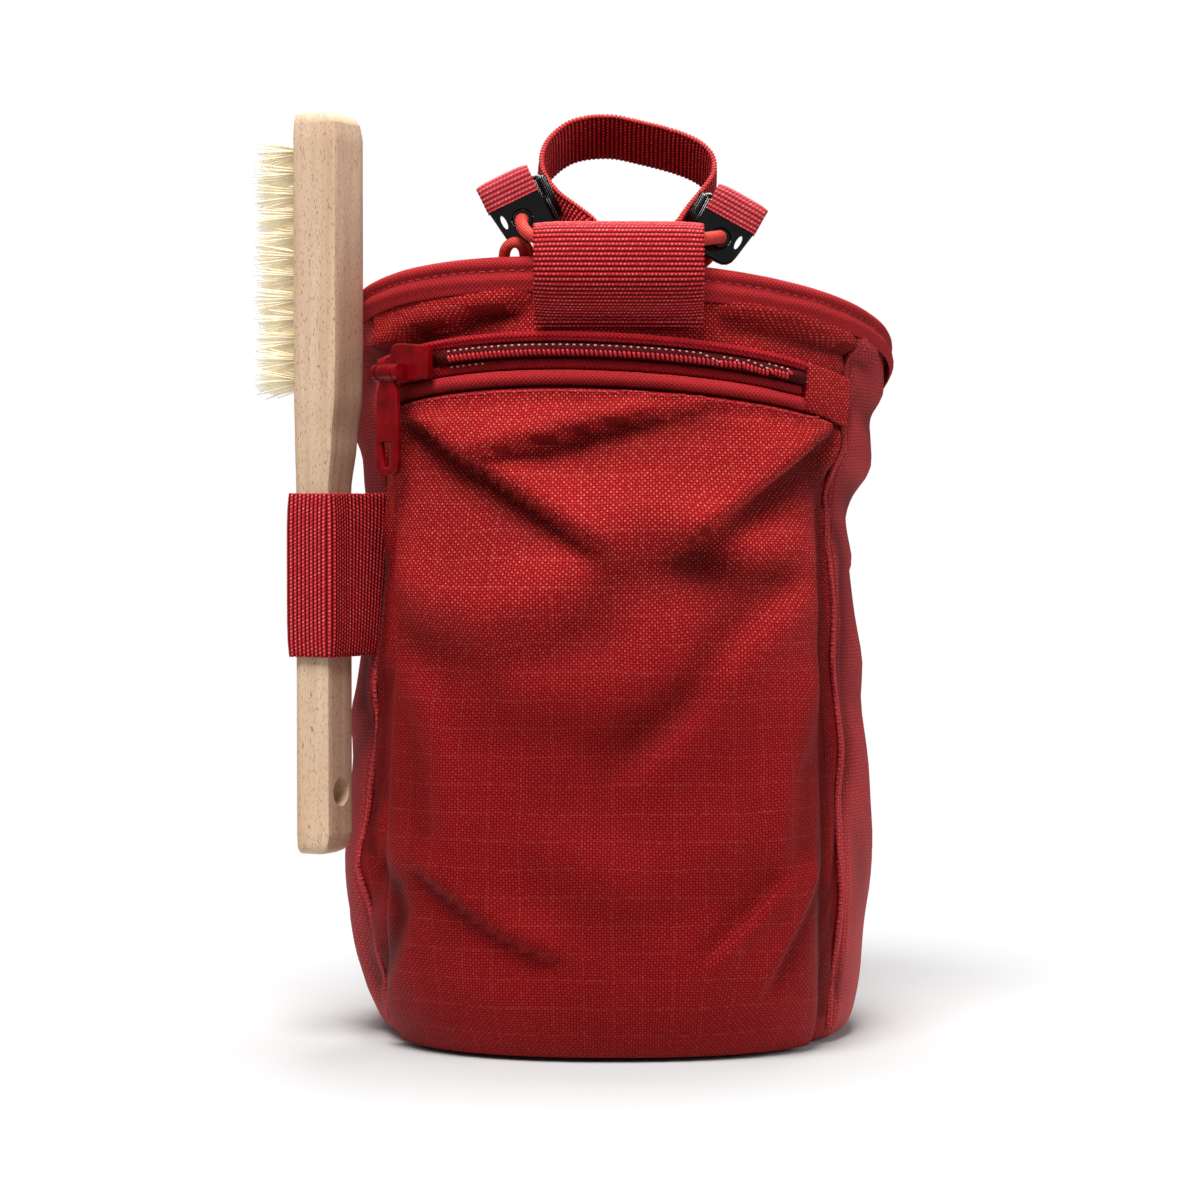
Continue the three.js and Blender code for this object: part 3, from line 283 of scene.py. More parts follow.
def ribbed(name, base, dark, glint_colour):
    """Ribbed polyester webbing: painted highlights as pale specks along the crest of each rib, painted
    shade between the ribs. Specks are drawn 0.9 mm apart, coarser than the yarn, so that they show."""
    made, tree, shader = begin(name, Roughness=0.6, Specular_IOR_Level=0.3,
                               Specular_Tint=linear("#ff6a60"))
    uv = node(tree, "UVMap", uv_map="cloth")
    axes = node(tree, "SeparateXYZ", [uv])
    across = node(tree, "Math", [axes.outputs[0], 2 * math.pi / 0.9], operation="MULTIPLY")
    along = node(tree, "Math", [axes.outputs[1], 2 * math.pi * MM / RIB_PITCH], operation="MULTIPLY")
    crest = node(tree, "Math", [along], operation="COSINE")
    half = node(tree, "Math", [along, 0.5], operation="MULTIPLY")
    slant = node(tree, "Math", [across, half], operation="ADD")
    dots = node(tree, "Math", [slant], operation="SINE")
    uneven = node(tree, "TexNoise", {"Vector": uv, "Scale": 1.3, "Detail": 2.0})
    # Painted highlights: pale specks on the crest of each rib
    on_crest = node(tree, "MapRange", [crest, 0.1, 1.0, 0.0, 1.0])
    glint_specks = node(tree, "MapRange", [dots, 0.2, 0.95, 0.0, 1.0])
    some = node(tree, "MapRange", [uneven, 0.38, 0.62, 0.1, 1.0])
    lit = on_crest
    for share in (glint_specks, some, 0.75):
        lit = node(tree, "Math", [lit, share], operation="MULTIPLY")
    # Painted shade between the ribs
    body = node(tree, "MapRange", [crest, -1.0, 0.5, 0.0, 1.0])
    colour = node(tree, "Mix", [body, linear(dark), linear(base)], data_type="RGBA")
    colour = node(tree, "Mix", [lit, colour, linear(glint_colour)], data_type="RGBA")
    relief = node(tree, "Math", [dots, 0.5], operation="MULTIPLY")
    finish_material(tree, shader, colour, relief, 0.1 * MM)
    return made


def plain_fabric(name, base, dark, roughness, pitch):
    """Fine thread or tape: a small diagonal twill over a soft change of tone."""
    made, tree, shader = begin(name, Roughness=roughness, Specular_IOR_Level=0.3,
                               Specular_Tint=linear("#ff8a80"))
    spot = node(tree, "TexCoord").outputs["Object"]
    axes = node(tree, "SeparateXYZ", [spot])
    slant = node(tree, "Math", [axes.outputs[0], axes.outputs[2]], operation="ADD")
    turn = node(tree, "Math", [slant, 2 * math.pi / pitch], operation="MULTIPLY")
    twill = node(tree, "Math", [turn], operation="SINE")
    tone = node(tree, "TexNoise", {"Vector": spot, "Scale": 420.0, "Detail": 3.0})
    raised = node(tree, "MapRange", [twill, -1.0, 1.0, 0.0, 0.5])
    share = node(tree, "Math", [raised, tone], operation="ADD")
    colour = node(tree, "Mix", [share, linear(dark), linear(base)], data_type="RGBA")
    finish_material(tree, shader, colour, twill, 0.06 * MM)
    return made


def smooth_surface(name, base, dark, roughness, scale, relief, **sockets):
    """Moulded or lacquered surface with faint unevenness."""
    made, tree, shader = begin(name, Roughness=roughness, **sockets)
    spot = node(tree, "TexCoord").outputs["Object"]
    grain = node(tree, "TexNoise", {"Vector": spot, "Scale": scale, "Detail": 4.0})
    share = node(tree, "MapRange", [grain, 0.3, 0.7, 0.0, 1.0])
    colour = node(tree, "Mix", [share, linear(dark), linear(base)], data_type="RGBA")
    finish_material(tree, shader, colour, grain, relief)
    return made


def beech_wood():
    """Sanded beech: matt, pale pinkish cream, short brown rays up the grain (0.2 by 1 mm, their real
    size) and faint bands a few mm wide."""
    made, tree, shader = begin("beech_sanded", Roughness=0.55, Specular_IOR_Level=0.35)
    spot = node(tree, "TexCoord").outputs["Object"]
    flat = node(tree, "Mapping", {"Vector": spot, "Rotation": (0.05, 0.03, 0.4),
                                  "Scale": (4600.0, 4600.0, 900.0)})
    flecks = node(tree, "TexNoise", {"Vector": flat, "Scale": 1.0, "Detail": 1.0})
    fleck = node(tree, "MapRange", [flecks, 0.6, 0.7, 0.0, 0.75])
    long = node(tree, "Mapping", {"Vector": spot, "Scale": (420.0, 420.0, 22.0)})
    bands = node(tree, "TexNoise", {"Vector": long, "Scale": 1.0, "Detail": 4.0})
    band = node(tree, "MapRange", [bands, 0.3, 0.7, 0.0, 1.0])
    colour = node(tree, "Mix", [band, linear("#cda98a"), linear("#e0c4a7")], data_type="RGBA")
    colour = node(tree, "Mix", [fleck, colour, linear("#8a5a38")], data_type="RGBA")
    finish_material(tree, shader, colour, bands, 0.05 * MM)
    return made


def bristle_hair():
    """Boar bristle: golden root, cream length and pale clear tip. A faint glow stands for the light that
    real hair lets through."""
    made, tree, shader = begin("bristle_hair", Roughness=0.4, Specular_IOR_Level=0.5,
                               Emission_Color=linear("#f2e8d0"), Emission_Strength=0.2)
    tip = node(tree, "Attribute", attribute_name="tip").outputs["Fac"]
    root = node(tree, "MapRange", [tip, 0.0, 0.5, 0.0, 1.0])
    end = node(tree, "MapRange", [tip, 0.72, 1.0, 0.0, 1.0])
    colour = node(tree, "Mix", [root, linear("#b0904e"), linear("#efe5cb")], data_type="RGBA")
    colour = node(tree, "Mix", [end, colour, linear("#ffffff")], data_type="RGBA")
    finish_material(tree, shader, colour, tip, 0.01 * MM)
    return made


# Coated ripstop: strong sparkle painted as highlights on coarse raised threads, which are drawn at 0.62
# mm, about twice the real spacing, so that they show; painted shade in the pits and towards the bottom
ripstop = woven("nylon_ripstop_woven", "#a8181e", "#5c090d", "#f07868", 0.62, 0.8, grid=6.5, fade=0.66)
# Plain side cloth: flatter and pinker, hardly any sparkle, threads drawn at twice their spacing
side_cloth = woven("nylon_plain_woven", "#b2383c", "#7a2226", "#de7670", 0.8, 0.35, sheen=0.08)
# The same cloth folded into hem and welt: even, soft edged, its threads only just seen
hem_cloth = woven("nylon_hem_folded", "#b0282d", "#861b20", "#d8665f", 0.5, 0.25, sheen=0.08)
# Webbing: bright new red with hard pale specks of painted highlight and painted shade between its ribs,
# and a faded pinker red where it is handled most
webbing_cloth = ribbed("polyester_webbing_ribbed", "#c4222c", "#42060a", "#ffc2b8")
tab_cloth = ribbed("polyester_webbing_faded", "#c24048", "#7c2026", "#f0aaa4")
# Zip tape: matt twill, drawn at 1.1 mm where the real one has 0.5 mm; darker copies of it paint the shade
# where it lies deep, in the coil's groove and on the lower tape
tape_cloth = plain_fabric("zip_tape_twill", "#b31c28", "#6d0d15", 0.55, 1.1 * MM)
recess_shade_cloth = plain_fabric("zip_tape_painted_recess_shade", "#4c0e12", "#2c0709", 0.8, 1.1 * MM)
lower_tape_shade_cloth = plain_fabric("zip_tape_lower_painted_shade", "#96151d", "#58090e", 0.65, 1.1 * MM)
# Thread: a twist at its real 0.5 mm, brighter than the cloth it lies on
selvedge_thread = plain_fabric("webbing_selvedge_braided", "#d84a48", "#8c161c", 0.5, 0.5 * MM)
thread_red = plain_fabric("sewing_thread_red", "#c4404a", "#8a1c24", 0.5, 0.5 * MM)
# Pale thread for the zip's stitch dots: real stitches, whitened as painted highlights for the small
# glints along the coil
pale_glint_thread = plain_fabric("sewing_thread_pale_glint", "#eebab2", "#c88a84", 0.5, 0.5 * MM)
# Zip coil: moulded nylon, clear red with a small sharp highlight on each tooth
coil_nylon = smooth_surface("nylon_coil_moulded", "#d01a26", "#9c0c17", 0.3, 900.0, 0.01 * MM,
                            Specular_IOR_Level=0.6)
# Slider: lacquer over die-cast zinc, deep wine red, glossy and a little uneven
slider_lacquer = smooth_surface("zinc_slider_lacquered", "#8a0812", "#5e0408", 0.2, 300.0, 0.004 * MM,
                                Coat_Weight=0.25, Coat_Roughness=0.06, Specular_IOR_Level=0.35,
                                Specular_Tint=linear("#ff8a84"))
# Elastic cord: orange-red braid, its strands at their real 0.7 mm
cord_cloth = plain_fabric("elastic_cord_braided", "#d24a40", "#a82a24", 0.5, 0.7 * MM)
# Plates: acetal, near black with a slight blue and sharp highlights on rounded edges
black_acetal = smooth_surface("acetal_black_moulded", "#050609", "#020304", 0.12, 400.0, 0.006 * MM,
                              Coat_Weight=0.5, Coat_Roughness=0.06, Specular_IOR_Level=0.6)
beech = beech_wood()
bristle = bristle_hair()


# ---- Mesh helpers

def from_bmesh(name, bm, *materials, smooth=True):
    """Turns a bmesh into an object, smooth shaded."""
    mesh = bpy.data.meshes.new(name)
    bm.to_mesh(mesh)
    bm.free()
    mesh.polygons.foreach_set("use_smooth", [smooth] * len(mesh.polygons))
    for material in materials:
        mesh.materials.append(material)
    made = bpy.data.objects.new(name, mesh)
    bpy.context.scene.collection.objects.link(made)
    return made


def bake_modifiers(made):
    """Puts the result of an object's modifiers into its mesh."""
    graph = bpy.context.evaluated_depsgraph_get()
    mesh = bpy.data.meshes.new_from_object(made.evaluated_get(graph))
    made.modifiers.clear()
    made.data = mesh


def merged_copy(source):
    """A CAD node's loose triangles as one closed bmesh."""
    bm = bmesh.new()
    bm.from_mesh(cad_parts[source].data)
    bmesh.ops.remove_doubles(bm, verts=bm.verts, dist=MERGE)
    return bm


def dressed(name, source, levels, material, sharp=None):
    """A merged, subdivided copy of a CAD node's mesh; edges sharper than an angle stay crisp."""
    bm = merged_copy(source)
    bmesh.ops.join_triangles(bm, faces=bm.faces, angle_face_threshold=0.7, angle_shape_threshold=1.2)
    if sharp:
        crease = bm.edges.layers.float.new("crease_edge")
        for edge in bm.edges:
            if len(edge.link_faces) == 2 and edge.calc_face_angle() > sharp:
                edge[crease] = 0.75
    made = from_bmesh(name, bm, material)
    layer = made.modifiers.new("subdivision", "SUBSURF")
    layer.levels = layer.render_levels = levels
    bake_modifiers(made)
    return made


def moulded(name, source, material, width):
    """A CAD node's shape with its edges rounded off."""
    bm = merged_copy(source)
    bmesh.ops.dissolve_limit(bm, angle_limit=math.radians(4), verts=bm.verts, edges=bm.edges)
    made = from_bmesh(name, bm, material)
    edge = made.modifiers.new("rounding", "BEVEL")
    edge.width = width
    edge.segments = 3
    edge.limit_method = "ANGLE"
    edge.angle_limit = math.radians(40)
    bake_modifiers(made)
    made.data.set_sharp_from_angle(angle=SHARP_EDGE)
    return made


def lay_cloth(made):
    """Cloth coordinates in mm: length round the bag and height, or a plan view where it lies flat."""
    mesh = made.data
    layer = mesh.uv_layers.new(name="cloth")
    for face in mesh.polygons:
        points = [mesh.vertices[v].co for v in face.vertices]
        turns = [math.atan2(co.x, -co.y) for co in points]
        wraps = max(turns) - min(turns) > math.pi
        level = abs(face.normal.z) > 0.8
        for loop, co, turn in zip(face.loop_indices, points, turns):
            if wraps and turn < 0:
                turn += 2 * math.pi
            uv = (co.x, co.y) if level else (turn * ROUND, co.z)
            layer.data[loop].uv = (uv[0] / MM, uv[1] / MM)


def bump_at(away, half, high=1.0):
    """Smooth bump of a half width and a height, at a distance from its middle."""
    return high * math.exp(-(away / half) ** 2)


def beside_line(points, u, v):
    """How far a place is from a line, how far above it, and how far past its ends."""
    nearest = math.inf
    final = len(points) - 2
    for k, ((u1, v1), (u2, v2)) in enumerate(zip(points, points[1:])):
        du, dv = u2 - u1, v2 - v1
        long = math.hypot(du, dv)
        t = ((u - u1) * du + (v - v1) * dv) / long ** 2
        clamped = min(max(t, 0), 1)
        gap = math.hypot(u - u1 - clamped * du, v - v1 - clamped * dv)
        if gap < nearest:
            nearest = gap
            above = ((v - v1) * du - (u - u1) * dv) / long * (1 if du >= 0 else -1)
            over = max(-t * long if k == 0 else 0, (t - 1) * long if k == final else 0, 0)
    return nearest, above, over


def fold_height(folds, u, v, crisp=False):
    """Height (mm) of all folds at one place. Each has its crest above its line and its valley below it,
    is steeper between them if crisp, and fades out past its ends."""
    total = 0.0
    for points, half, high in folds:
        gap, above, over = beside_line(points, u, v)
        if gap > 4 * half:
            continue
        s = above / half
        steep = 1.7 * math.tanh(2.4 * s) * math.exp(-abs(s))
        total += high * bump_at(over, 1.5 * half) * (steep if crisp else 1.9 * s * math.exp(-s * s))
    return total


def wrinkle(co, scale, seed):
    """Smooth noise between -1 and 1."""
    return noise.noise(Vector((co.x / scale + seed, co.y / scale, co.z / scale)))


def crease_at(x, z):
    """How much painted shade and how deep a dent the creases give at one place of the front."""
    dark = deep = 0.0
    for points, half, shade, dent in CREASES:
        gap = beside_line(points, x, z)[0]
        dark, deep = max(dark, bump_at(gap, half, shade)), max(deep, bump_at(gap, half, dent))
    return dark, deep


def fold_cloth(made, height_at, depth=2.6, outer_only=False, creased=False):
    """Moves every point along the way out of the bag, and keeps as painted shade how deep in a fold or a
    crease it lies.
    """
    mesh = made.data
    hollow_shade = mesh.attributes.new("hollow_shade", "FLOAT", "POINT")
    normals = [v.normal.copy() for v in mesh.vertices]
    for vertex, normal in zip(mesh.vertices, normals):
        co = vertex.co
        out = Vector((co.x, co.y, 0))
        if out.length < AXIS_FREE or (outer_only and normal.dot(out) < 0):
            continue
        # Creases on the front give painted shade as well as a dent
        dark, deep = crease_at(co.x / MM, co.z / MM) if creased and co.y < 0 else (0.0, 0.0)
        high = height_at(co) - deep
        vertex.co = co + out.normalized() * high * MM
        hollow_shade.data[vertex.index].value = min(max(-high / depth, dark, 0.0), 1.0)


def degrees_round(co):
    """Angle of a point round the bag, from the front."""
    return math.degrees(math.atan2(co.x, -co.y))


def skin_of(piece):
    """Search tree over the finished surface of a piece."""
    bm = bmesh.new()
    bm.from_mesh(piece.data)
    made = BVHTree.FromBMesh(bm)
    bm.free()
    return made


def outside(skin, angle, height):
    """Place and normal where a ray from outside meets a surface, at an angle round the bag."""
    way = Vector((math.sin(math.radians(angle)), -math.cos(math.radians(angle)), 0))
    spot, normal, _, _ = skin.ray_cast(way * RAY_START + Vector((0, 0, height)), -way)
    return (spot, normal) if spot else None


def centre_line(source, share):
    """Height of a strip's line at each angle, between its lower edge (0) and its upper edge (1)."""
    columns = {}
    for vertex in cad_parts[source].data.vertices:
        columns.setdefault(round(degrees_round(vertex.co) / 2.5), []).append(vertex.co)
    line = []
    for group in columns.values():
        low, high = min(c.z for c in group), max(c.z for c in group)
        angle = sum(degrees_round(c) for c in group) / len(group)
        line.append((angle, low + (high - low) * share))
    return sorted(line)


def top_line(made):
    """Height of a ring's top at each angle, every 3 degrees."""
    top = {}
    for vertex in made.data.vertices:
        key = round(degrees_round(vertex.co) / 3) % 120
        top[key] = max(top.get(key, -1), vertex.co.z)
    return sorted(((k * 3 + 180) % 360 - 180, z) for k, z in top.items())


def height_on(line, angle):
    """Height of a line at an angle."""
    for (a, low), (b, high) in zip(line, line[1:]):
        if a <= angle <= b:
            return low + (high - low) * (angle - a) / (b - a)
    return line[0][1] if angle < line[0][0] else line[-1][1]


def along_surface(skin, line, start, end, spacing, below=0.0):
    """Places with normals and ways forward, evenly spaced on a surface along a line or below it."""
    spots = []
    last = None
    angle = start
    while angle < end:
        found = outside(skin, angle, height_on(line, angle) - below)
        if found:
            spot, normal = found
            if last is None or (spot - last).length >= spacing:
                if last is not None and (spot - last).length < spacing * 3:
                    spots.append((spot, normal, (spot - last).normalized()))
                last = spot
        angle += 0.06
    return spots


def beads(name, spots, size, material, slant=0.0):
    """Small rounded bodies along a line: size (mm) is along it, across it and out of the surface."""
    bm = bmesh.new()
    for spot, normal, along in spots:
        across = normal.cross(along).normalized()
        out = along.cross(across).normalized()
        turn = Matrix.Rotation(slant, 4, "Z")
        basis = Matrix((along, across, out)).transposed().to_4x4()
        scale = Matrix.Diagonal((*[s * MM / 2 for s in size], 1))
        bmesh.ops.create_uvsphere(bm, u_segments=7, v_segments=5, radius=1,
                                  matrix=Matrix.Translation(spot) @ basis @ turn @ scale)
    return from_bmesh(name, bm, material)


def smooth_pairs(rails, closed=False, steps=10):
    """Fine pairs of edge points on smooth curves through a table of rails."""
    rows = [(Vector(r[:3]) * MM, Vector(r[3:]) * MM) for r in rails]
    count = len(rows)
    last = count - 1
    fine = []
    for i in range(count if closed else last):
        near = range(i - 1, i + 3)
        picks = [rows[k % count] if closed else rows[min(max(k, 0), last)] for k in near]
        for step in range(steps):
            t = step / steps
            pair = []
            for edge in (0, 1):
                a, b, c, d = [p[edge] for p in picks]
                pair.append(0.5 * (2 * b + (c - a) * t + (2 * a - 5 * b + 4 * c - d) * t * t
                                   + (3 * b - a - 3 * c + d) * t ** 3))
            fine.append(tuple(pair))
    fine.append(fine[0] if closed else rows[-1])
    return fine


def swept(around, rows, point_at):
    """A tube of points, each set by its column and row, with its open ends as rings of points."""
    bm = bmesh.new()
    bmesh.ops.create_grid(bm, x_segments=around, y_segments=rows, size=0.5)
    tags = {v: (round((v.co.x + 0.5) * around), round((v.co.y + 0.5) * rows)) for v in bm.verts}
    for vertex, tag in tags.items():
        vertex.co = point_at(*tag)
    rings = [sorted((v for v, (s, row) in tags.items() if row == end and s < around),
                    key=lambda v: tags[v][0]) for end in (0, rows)]
    return bm, tags, rings


def close_seam(bm):
    """Joins a tube's meeting edges and turns its faces outwards."""
    bmesh.ops.remove_doubles(bm, verts=bm.verts, dist=WELD)
    bmesh.ops.recalc_face_normals(bm, faces=bm.faces)


def webbing(name, rails, thickness, material, closed=False, columns=8, ribs=True):
    """Webbing swept between two edges, with ribs across it and a rounded selvedge."""
    fine = smooth_pairs(rails, closed)
    middles = [(a + b) / 2 for a, b in fine]
    lengths = [0.0]
    for a, b in zip(middles, middles[1:]):
        lengths.append(lengths[-1] + (b - a).length)
    rows = max(round(lengths[-1] / RIB_PITCH), 1) * RIB_ROWS
    frames = []
    k = 0
    for row in range(rows + 1):
        want = lengths[-1] * row / rows
        while k < len(lengths) - 2 and lengths[k + 1] < want:
            k += 1
        t = (want - lengths[k]) / max(lengths[k + 1] - lengths[k], 1e-9)
        frames.append([fine[k][e].lerp(fine[k + 1][e], t) for e in (0, 1)])
    # Section: points bunch towards both edges, where the webbing thins
    section = []
    for side in (1, -1):
        steps = range(columns + 1)
        for j in (steps if side > 0 else reversed(steps)):
            across = 0.5 - 0.5 * math.cos(math.pi * j / columns)
            section.append((across, side * (1 - abs(2 * across - 1) ** 6 * 0.75)))
    around = len(section)

    def point_at(s, row):
        across, side = section[s % around]
        left, right = frames[row]
        ahead = frames[min(row + 1, rows)]
        behind = frames[max(row - 1, 0)]
        if closed and row in (0, rows):
            ahead, behind = frames[1], frames[rows - 1]
        along = (ahead[0] + ahead[1] - behind[0] - behind[1]).normalized()
        normal = along.cross(right - left).normalized()
        phase = math.cos(2 * math.pi * row / RIB_ROWS)
        rib = RIB_HEIGHT * (phase - 1) / 2 if ribs else 0.0
        lift = side * (thickness / 2) + math.copysign(1, side) * rib * (0.4 + 0.6 * abs(side))
        wavy = 0.12 * MM * phase * (1 if across > 0.5 else -1) * (1 - abs(side)) ** 0.5
        return left.lerp(right, across) + normal * lift + (right - left).normalized() * wavy

    bm, tags, rings = swept(around, rows, point_at)
    uv = bm.loops.layers.uv.new("cloth")
    width = (fine[0][1] - fine[0][0]).length
    for face in bm.faces:
        for loop in face.loops:
            s, row = tags[loop.vert]
            loop[uv].uv = (section[s % around][0] * width / MM, row / RIB_ROWS * RIB_PITCH / MM)
    if not closed:
        for ring in rings:
            bm.faces.new(ring)
    close_seam(bm)
    return from_bmesh(name, bm, material)


def selvedge(name, rails, size, spacing, slant):
    """Braided stitches along the near edge of a webbing."""
    spots = []
    last = None
    for far, near in smooth_pairs(rails, steps=40):
        if last is None or (near - last).length >= spacing:
            if last is not None:
                spots.append((near, (near - far).normalized(), (near - last).normalized()))
            last = near
    return beads(name, spots, size, selvedge_thread, slant)


def joined(name, pieces):
    """One piece made of several, with their materials."""
    bm = bmesh.new()
    materials = []
    for piece in pieces:
        start = len(bm.faces)
        bm.from_mesh(piece.data)
        bm.faces.ensure_lookup_table()
        material = piece.data.materials[0]
        if material not in materials:
            materials.append(material)
        for face in bm.faces[start:]:
            face.material_index = materials.index(material)
        bpy.data.objects.remove(piece)
    return from_bmesh(name, bm, *materials)


def place(piece, body, slot, *nodes):
    """Rides a body and stands for CAD nodes; its slot argument is not used."""
    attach(piece, body)
    if nodes:
        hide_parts(*nodes)


# ---- Bag wall, hem and base

def cloth_length(angle):
    """Length (mm) round the bag of an angle in degrees."""
    return math.radians(angle) * ROUND / MM


def turned(folds):
    """Folds with their degrees turned into cloth length (mm)."""
    return [([(cloth_length(u), v) for u, v in points], half, high) for points, half, high in folds]


WALL_FOLDS_MM = turned(WALL_FOLDS)
YOKE_FOLDS_MM = turned(YOKE_FOLDS)


def wall_height(co):
    """How far (mm) the wall's cloth stands out: folds, wrinkles, a bulge at the left shoulder, seams."""
    angle = degrees_round(co)
    length, height = cloth_length(angle + 360 if angle < -90 else angle), co.z / MM
    high = fold_height(WALL_FOLDS_MM, length, height)
    high += fold_height(YOKE_FOLDS_MM, length, height, crisp=True)
    calm = min(max((184 - height) / 12, 0.25), 1) * min(height / 10, 1)
    high += 0.7 * wrinkle(co, 28 * MM, 3.1) * calm + 0.22 * wrinkle(co, 11 * MM, 7.7) * calm
    high += bump_at(angle + 82, 13, 2.4) * bump_at(height - 147, 13)
    for seam in SEAMS:
        away = cloth_length(angle - seam)
        high += bump_at(away - 2.2, 1.5, 0.5) - bump_at(away, 1.2, 1.3)
    behind_pocket = abs(angle) < 56 and height < 165
    return high * (0.35 if behind_pocket else 1.0)


wall = dressed("bag_wall", "bag_shell", 2, ripstop)
fold_cloth(wall, wall_height, depth=2.0, creased=True)
lay_cloth(wall)
wall.data.materials.append(side_cloth)
for face in wall.data.polygons:
    face.material_index = 0 if SEAMS[0] < degrees_round(face.center) < SEAMS[1] else 1
place(wall, "bag", "ripstop_red", "bag_shell")

base = dressed("bag_base", "base_panel", 2, side_cloth, sharp=0.9)
lay_cloth(base)
place(base, "bag", "side_cloth_red", "base_panel")

hem = dressed("mouth_hem", "rim_binding", 3, hem_cloth)
rim_line = top_line(hem)


def hem_height(co):
    """Two ridges with the stitched groove between them, slightly uneven (mm)."""
    below = (height_on(rim_line, degrees_round(co)) - co.z) / MM
    ridges = bump_at(below - 1.6, 1.2, 0.25) + bump_at(below - 5.6, 0.9, 0.45)
    groove = bump_at(below - HEM_GROOVE / MM, 0.7, 0.6)
    return ridges - groove + 0.2 * wrinkle(co, 9 * MM, 1.3) + 0.12 * wrinkle(co, 4 * MM, 5.5)


fold_cloth(hem, hem_height, depth=1.2, outer_only=True)
lay_cloth(hem)
place(hem, "bag", "side_cloth_red", "rim_binding")


# ---- Pocket, welt, zip

welt_line = centre_line("pocket_welt", 0.0)


def pocket_height(co):
    """How far (mm) the pocket's cloth stands out: calm near its seams, puckered below the welt."""
    x, z = co.x / MM, co.z / MM
    high = fold_height(POCKET_FOLDS, x, z, crisp=True) + fold_height(POCKET_SWELLS, x, z)
    below = (height_on(welt_line, degrees_round(co)) - co.z) / MM
    calm = min(max(min((below - 1.5) / 7, z / 9, (54 - abs(x)) / 6), 0), 1)
    fine = 0.5 * wrinkle(co, 24 * MM, 9.2) + 0.2 * wrinkle(co, 9 * MM, 2.4)
    pucker = math.sin(x * 1.1) * bump_at(below - 3, 4, 0.2)
    ridge = bump_at(below - 1.2, 0.8, 0.5) - bump_at(below - 2.9, 0.8, 0.7)
    return (high + fine) * calm + pucker + ridge


pocket = dressed("pocket_panel", "front_pocket", 2, ripstop)
fold_cloth(pocket, pocket_height, creased=True)
lay_cloth(pocket)
place(pocket, "bag", "ripstop_red", "front_pocket")

welt = dressed("pocket_welt_strip", "pocket_welt", 2, hem_cloth, sharp=0.9)
fold_cloth(welt, lambda co: 0.25 * wrinkle(co, 8 * MM, 4.1))
lay_cloth(welt)
place(welt, "bag", "ripstop_red", "pocket_welt")

# The lower tape sits back and takes the darker copy of the tape that paints its shade
tape_lower = dressed("zip_tape_lower_woven", "zip_tape_lower", 2, lower_tape_shade_cloth, sharp=0.9)
fold_cloth(tape_lower, lambda co: -0.5)
place(tape_lower, "bag", "zip_tape_red", "zip_tape_lower")
tape_upper = dressed("zip_tape_upper_core", "zip_tape_upper", 2, tape_cloth, sharp=0.9)
braid_spots = along_surface(skin_of(tape_upper), centre_line("zip_tape_upper", 0.55), -56, 46, MM)
braid = beads("braid", braid_spots, (1.5, 0.8, 0.7), tape_cloth, slant=0.6)
tape_upper = joined("zip_tape_upper_braided", [tape_upper, braid])
place(tape_upper, "bag", "zip_tape_red", "zip_tape_upper")
tab = dressed("zip_tab_cloth", "zip_end_tab", 2, ripstop, sharp=0.9)
lay_cloth(tab)
place(tab, "bag", "ripstop_red", "zip_end_tab")

# The coil's core takes the dark copy of the tape that paints the groove's shade
coil_core = dressed("coil_core", "zip_coil", 1, recess_shade_cloth, sharp=0.9)
coil_skin = skin_of(coil_core)
teeth_spots = along_surface(coil_skin, centre_line("zip_coil", 0.3), -37, 39.6, 1.05 * MM)
teeth = beads("teeth", teeth_spots, (0.95, 1.9, 1.2), coil_nylon, slant=0.3)
coil = joined("zip_coil_teeth", [coil_core, teeth])
place(coil, "bag", "zip_coil_red", "zip_coil")

# Pale stitch dots: real stitches, painted light as highlights; the lower row runs only near the slider,
# out of the tape's shade
dots = []
for skin, line, end in (
    (coil_skin, centre_line("zip_coil", 0.8), 39.6),
    (skin_of(tape_lower), centre_line("zip_tape_lower", 0.75), -29),
):
    spots = along_surface(skin, line, -38, end, 1.6 * MM)
    dots.append(beads("dots", spots, (0.8, 0.5, 0.5), pale_glint_thread))
zip_stitches = joined("zip_stitch_rows_glint", dots)
place(zip_stitches, "bag", "zip_tape_red")


# ---- Slider and pull

slider = moulded("zip_slider_body", "zip_slider", slider_lacquer, 0.45 * MM)
place(slider, "bag", "slider_red", "zip_slider")
pull = moulded("zip_pull_tab", "zip_pull", slider_lacquer, 0.4 * MM)
place(pull, "zip_pull", "slider_red", "zip_pull")


# ---- Webbing

belt_rails = [(BELT_EDGES[0], right, z, BELT_EDGES[1], left, z) for right, left, z in BELT_ROUTE]
belt = webbing("belt_loop_webbing", belt_rails, WEBBING_THICKNESS, webbing_cloth, columns=12)
place(belt, "bag", "webbing_red", "belt_loop")

strap = joined("carrying_strap_webbing", [
    webbing("strap_band", STRAP_RAILS, WEBBING_THICKNESS, webbing_cloth),
    selvedge("strap_edge", STRAP_RAILS, (1.0, 1.5, 0.8), 0.85 * MM, 0.5),
])
place(strap, "bag", "webbing_red", "handle_strap")


def plate_axes(corner, fall, mirror):
    """A plate's corner (mm), and the ways along its bar and down from it."""
    fall = math.radians(fall)
    bar = Vector((mirror * math.cos(fall), 0, -math.sin(fall)))
    down = Vector((-mirror * math.sin(fall), 0, -math.cos(fall)))
    return Vector((corner[0], PLATE_PLACE / MM, corner[1])), bar, down


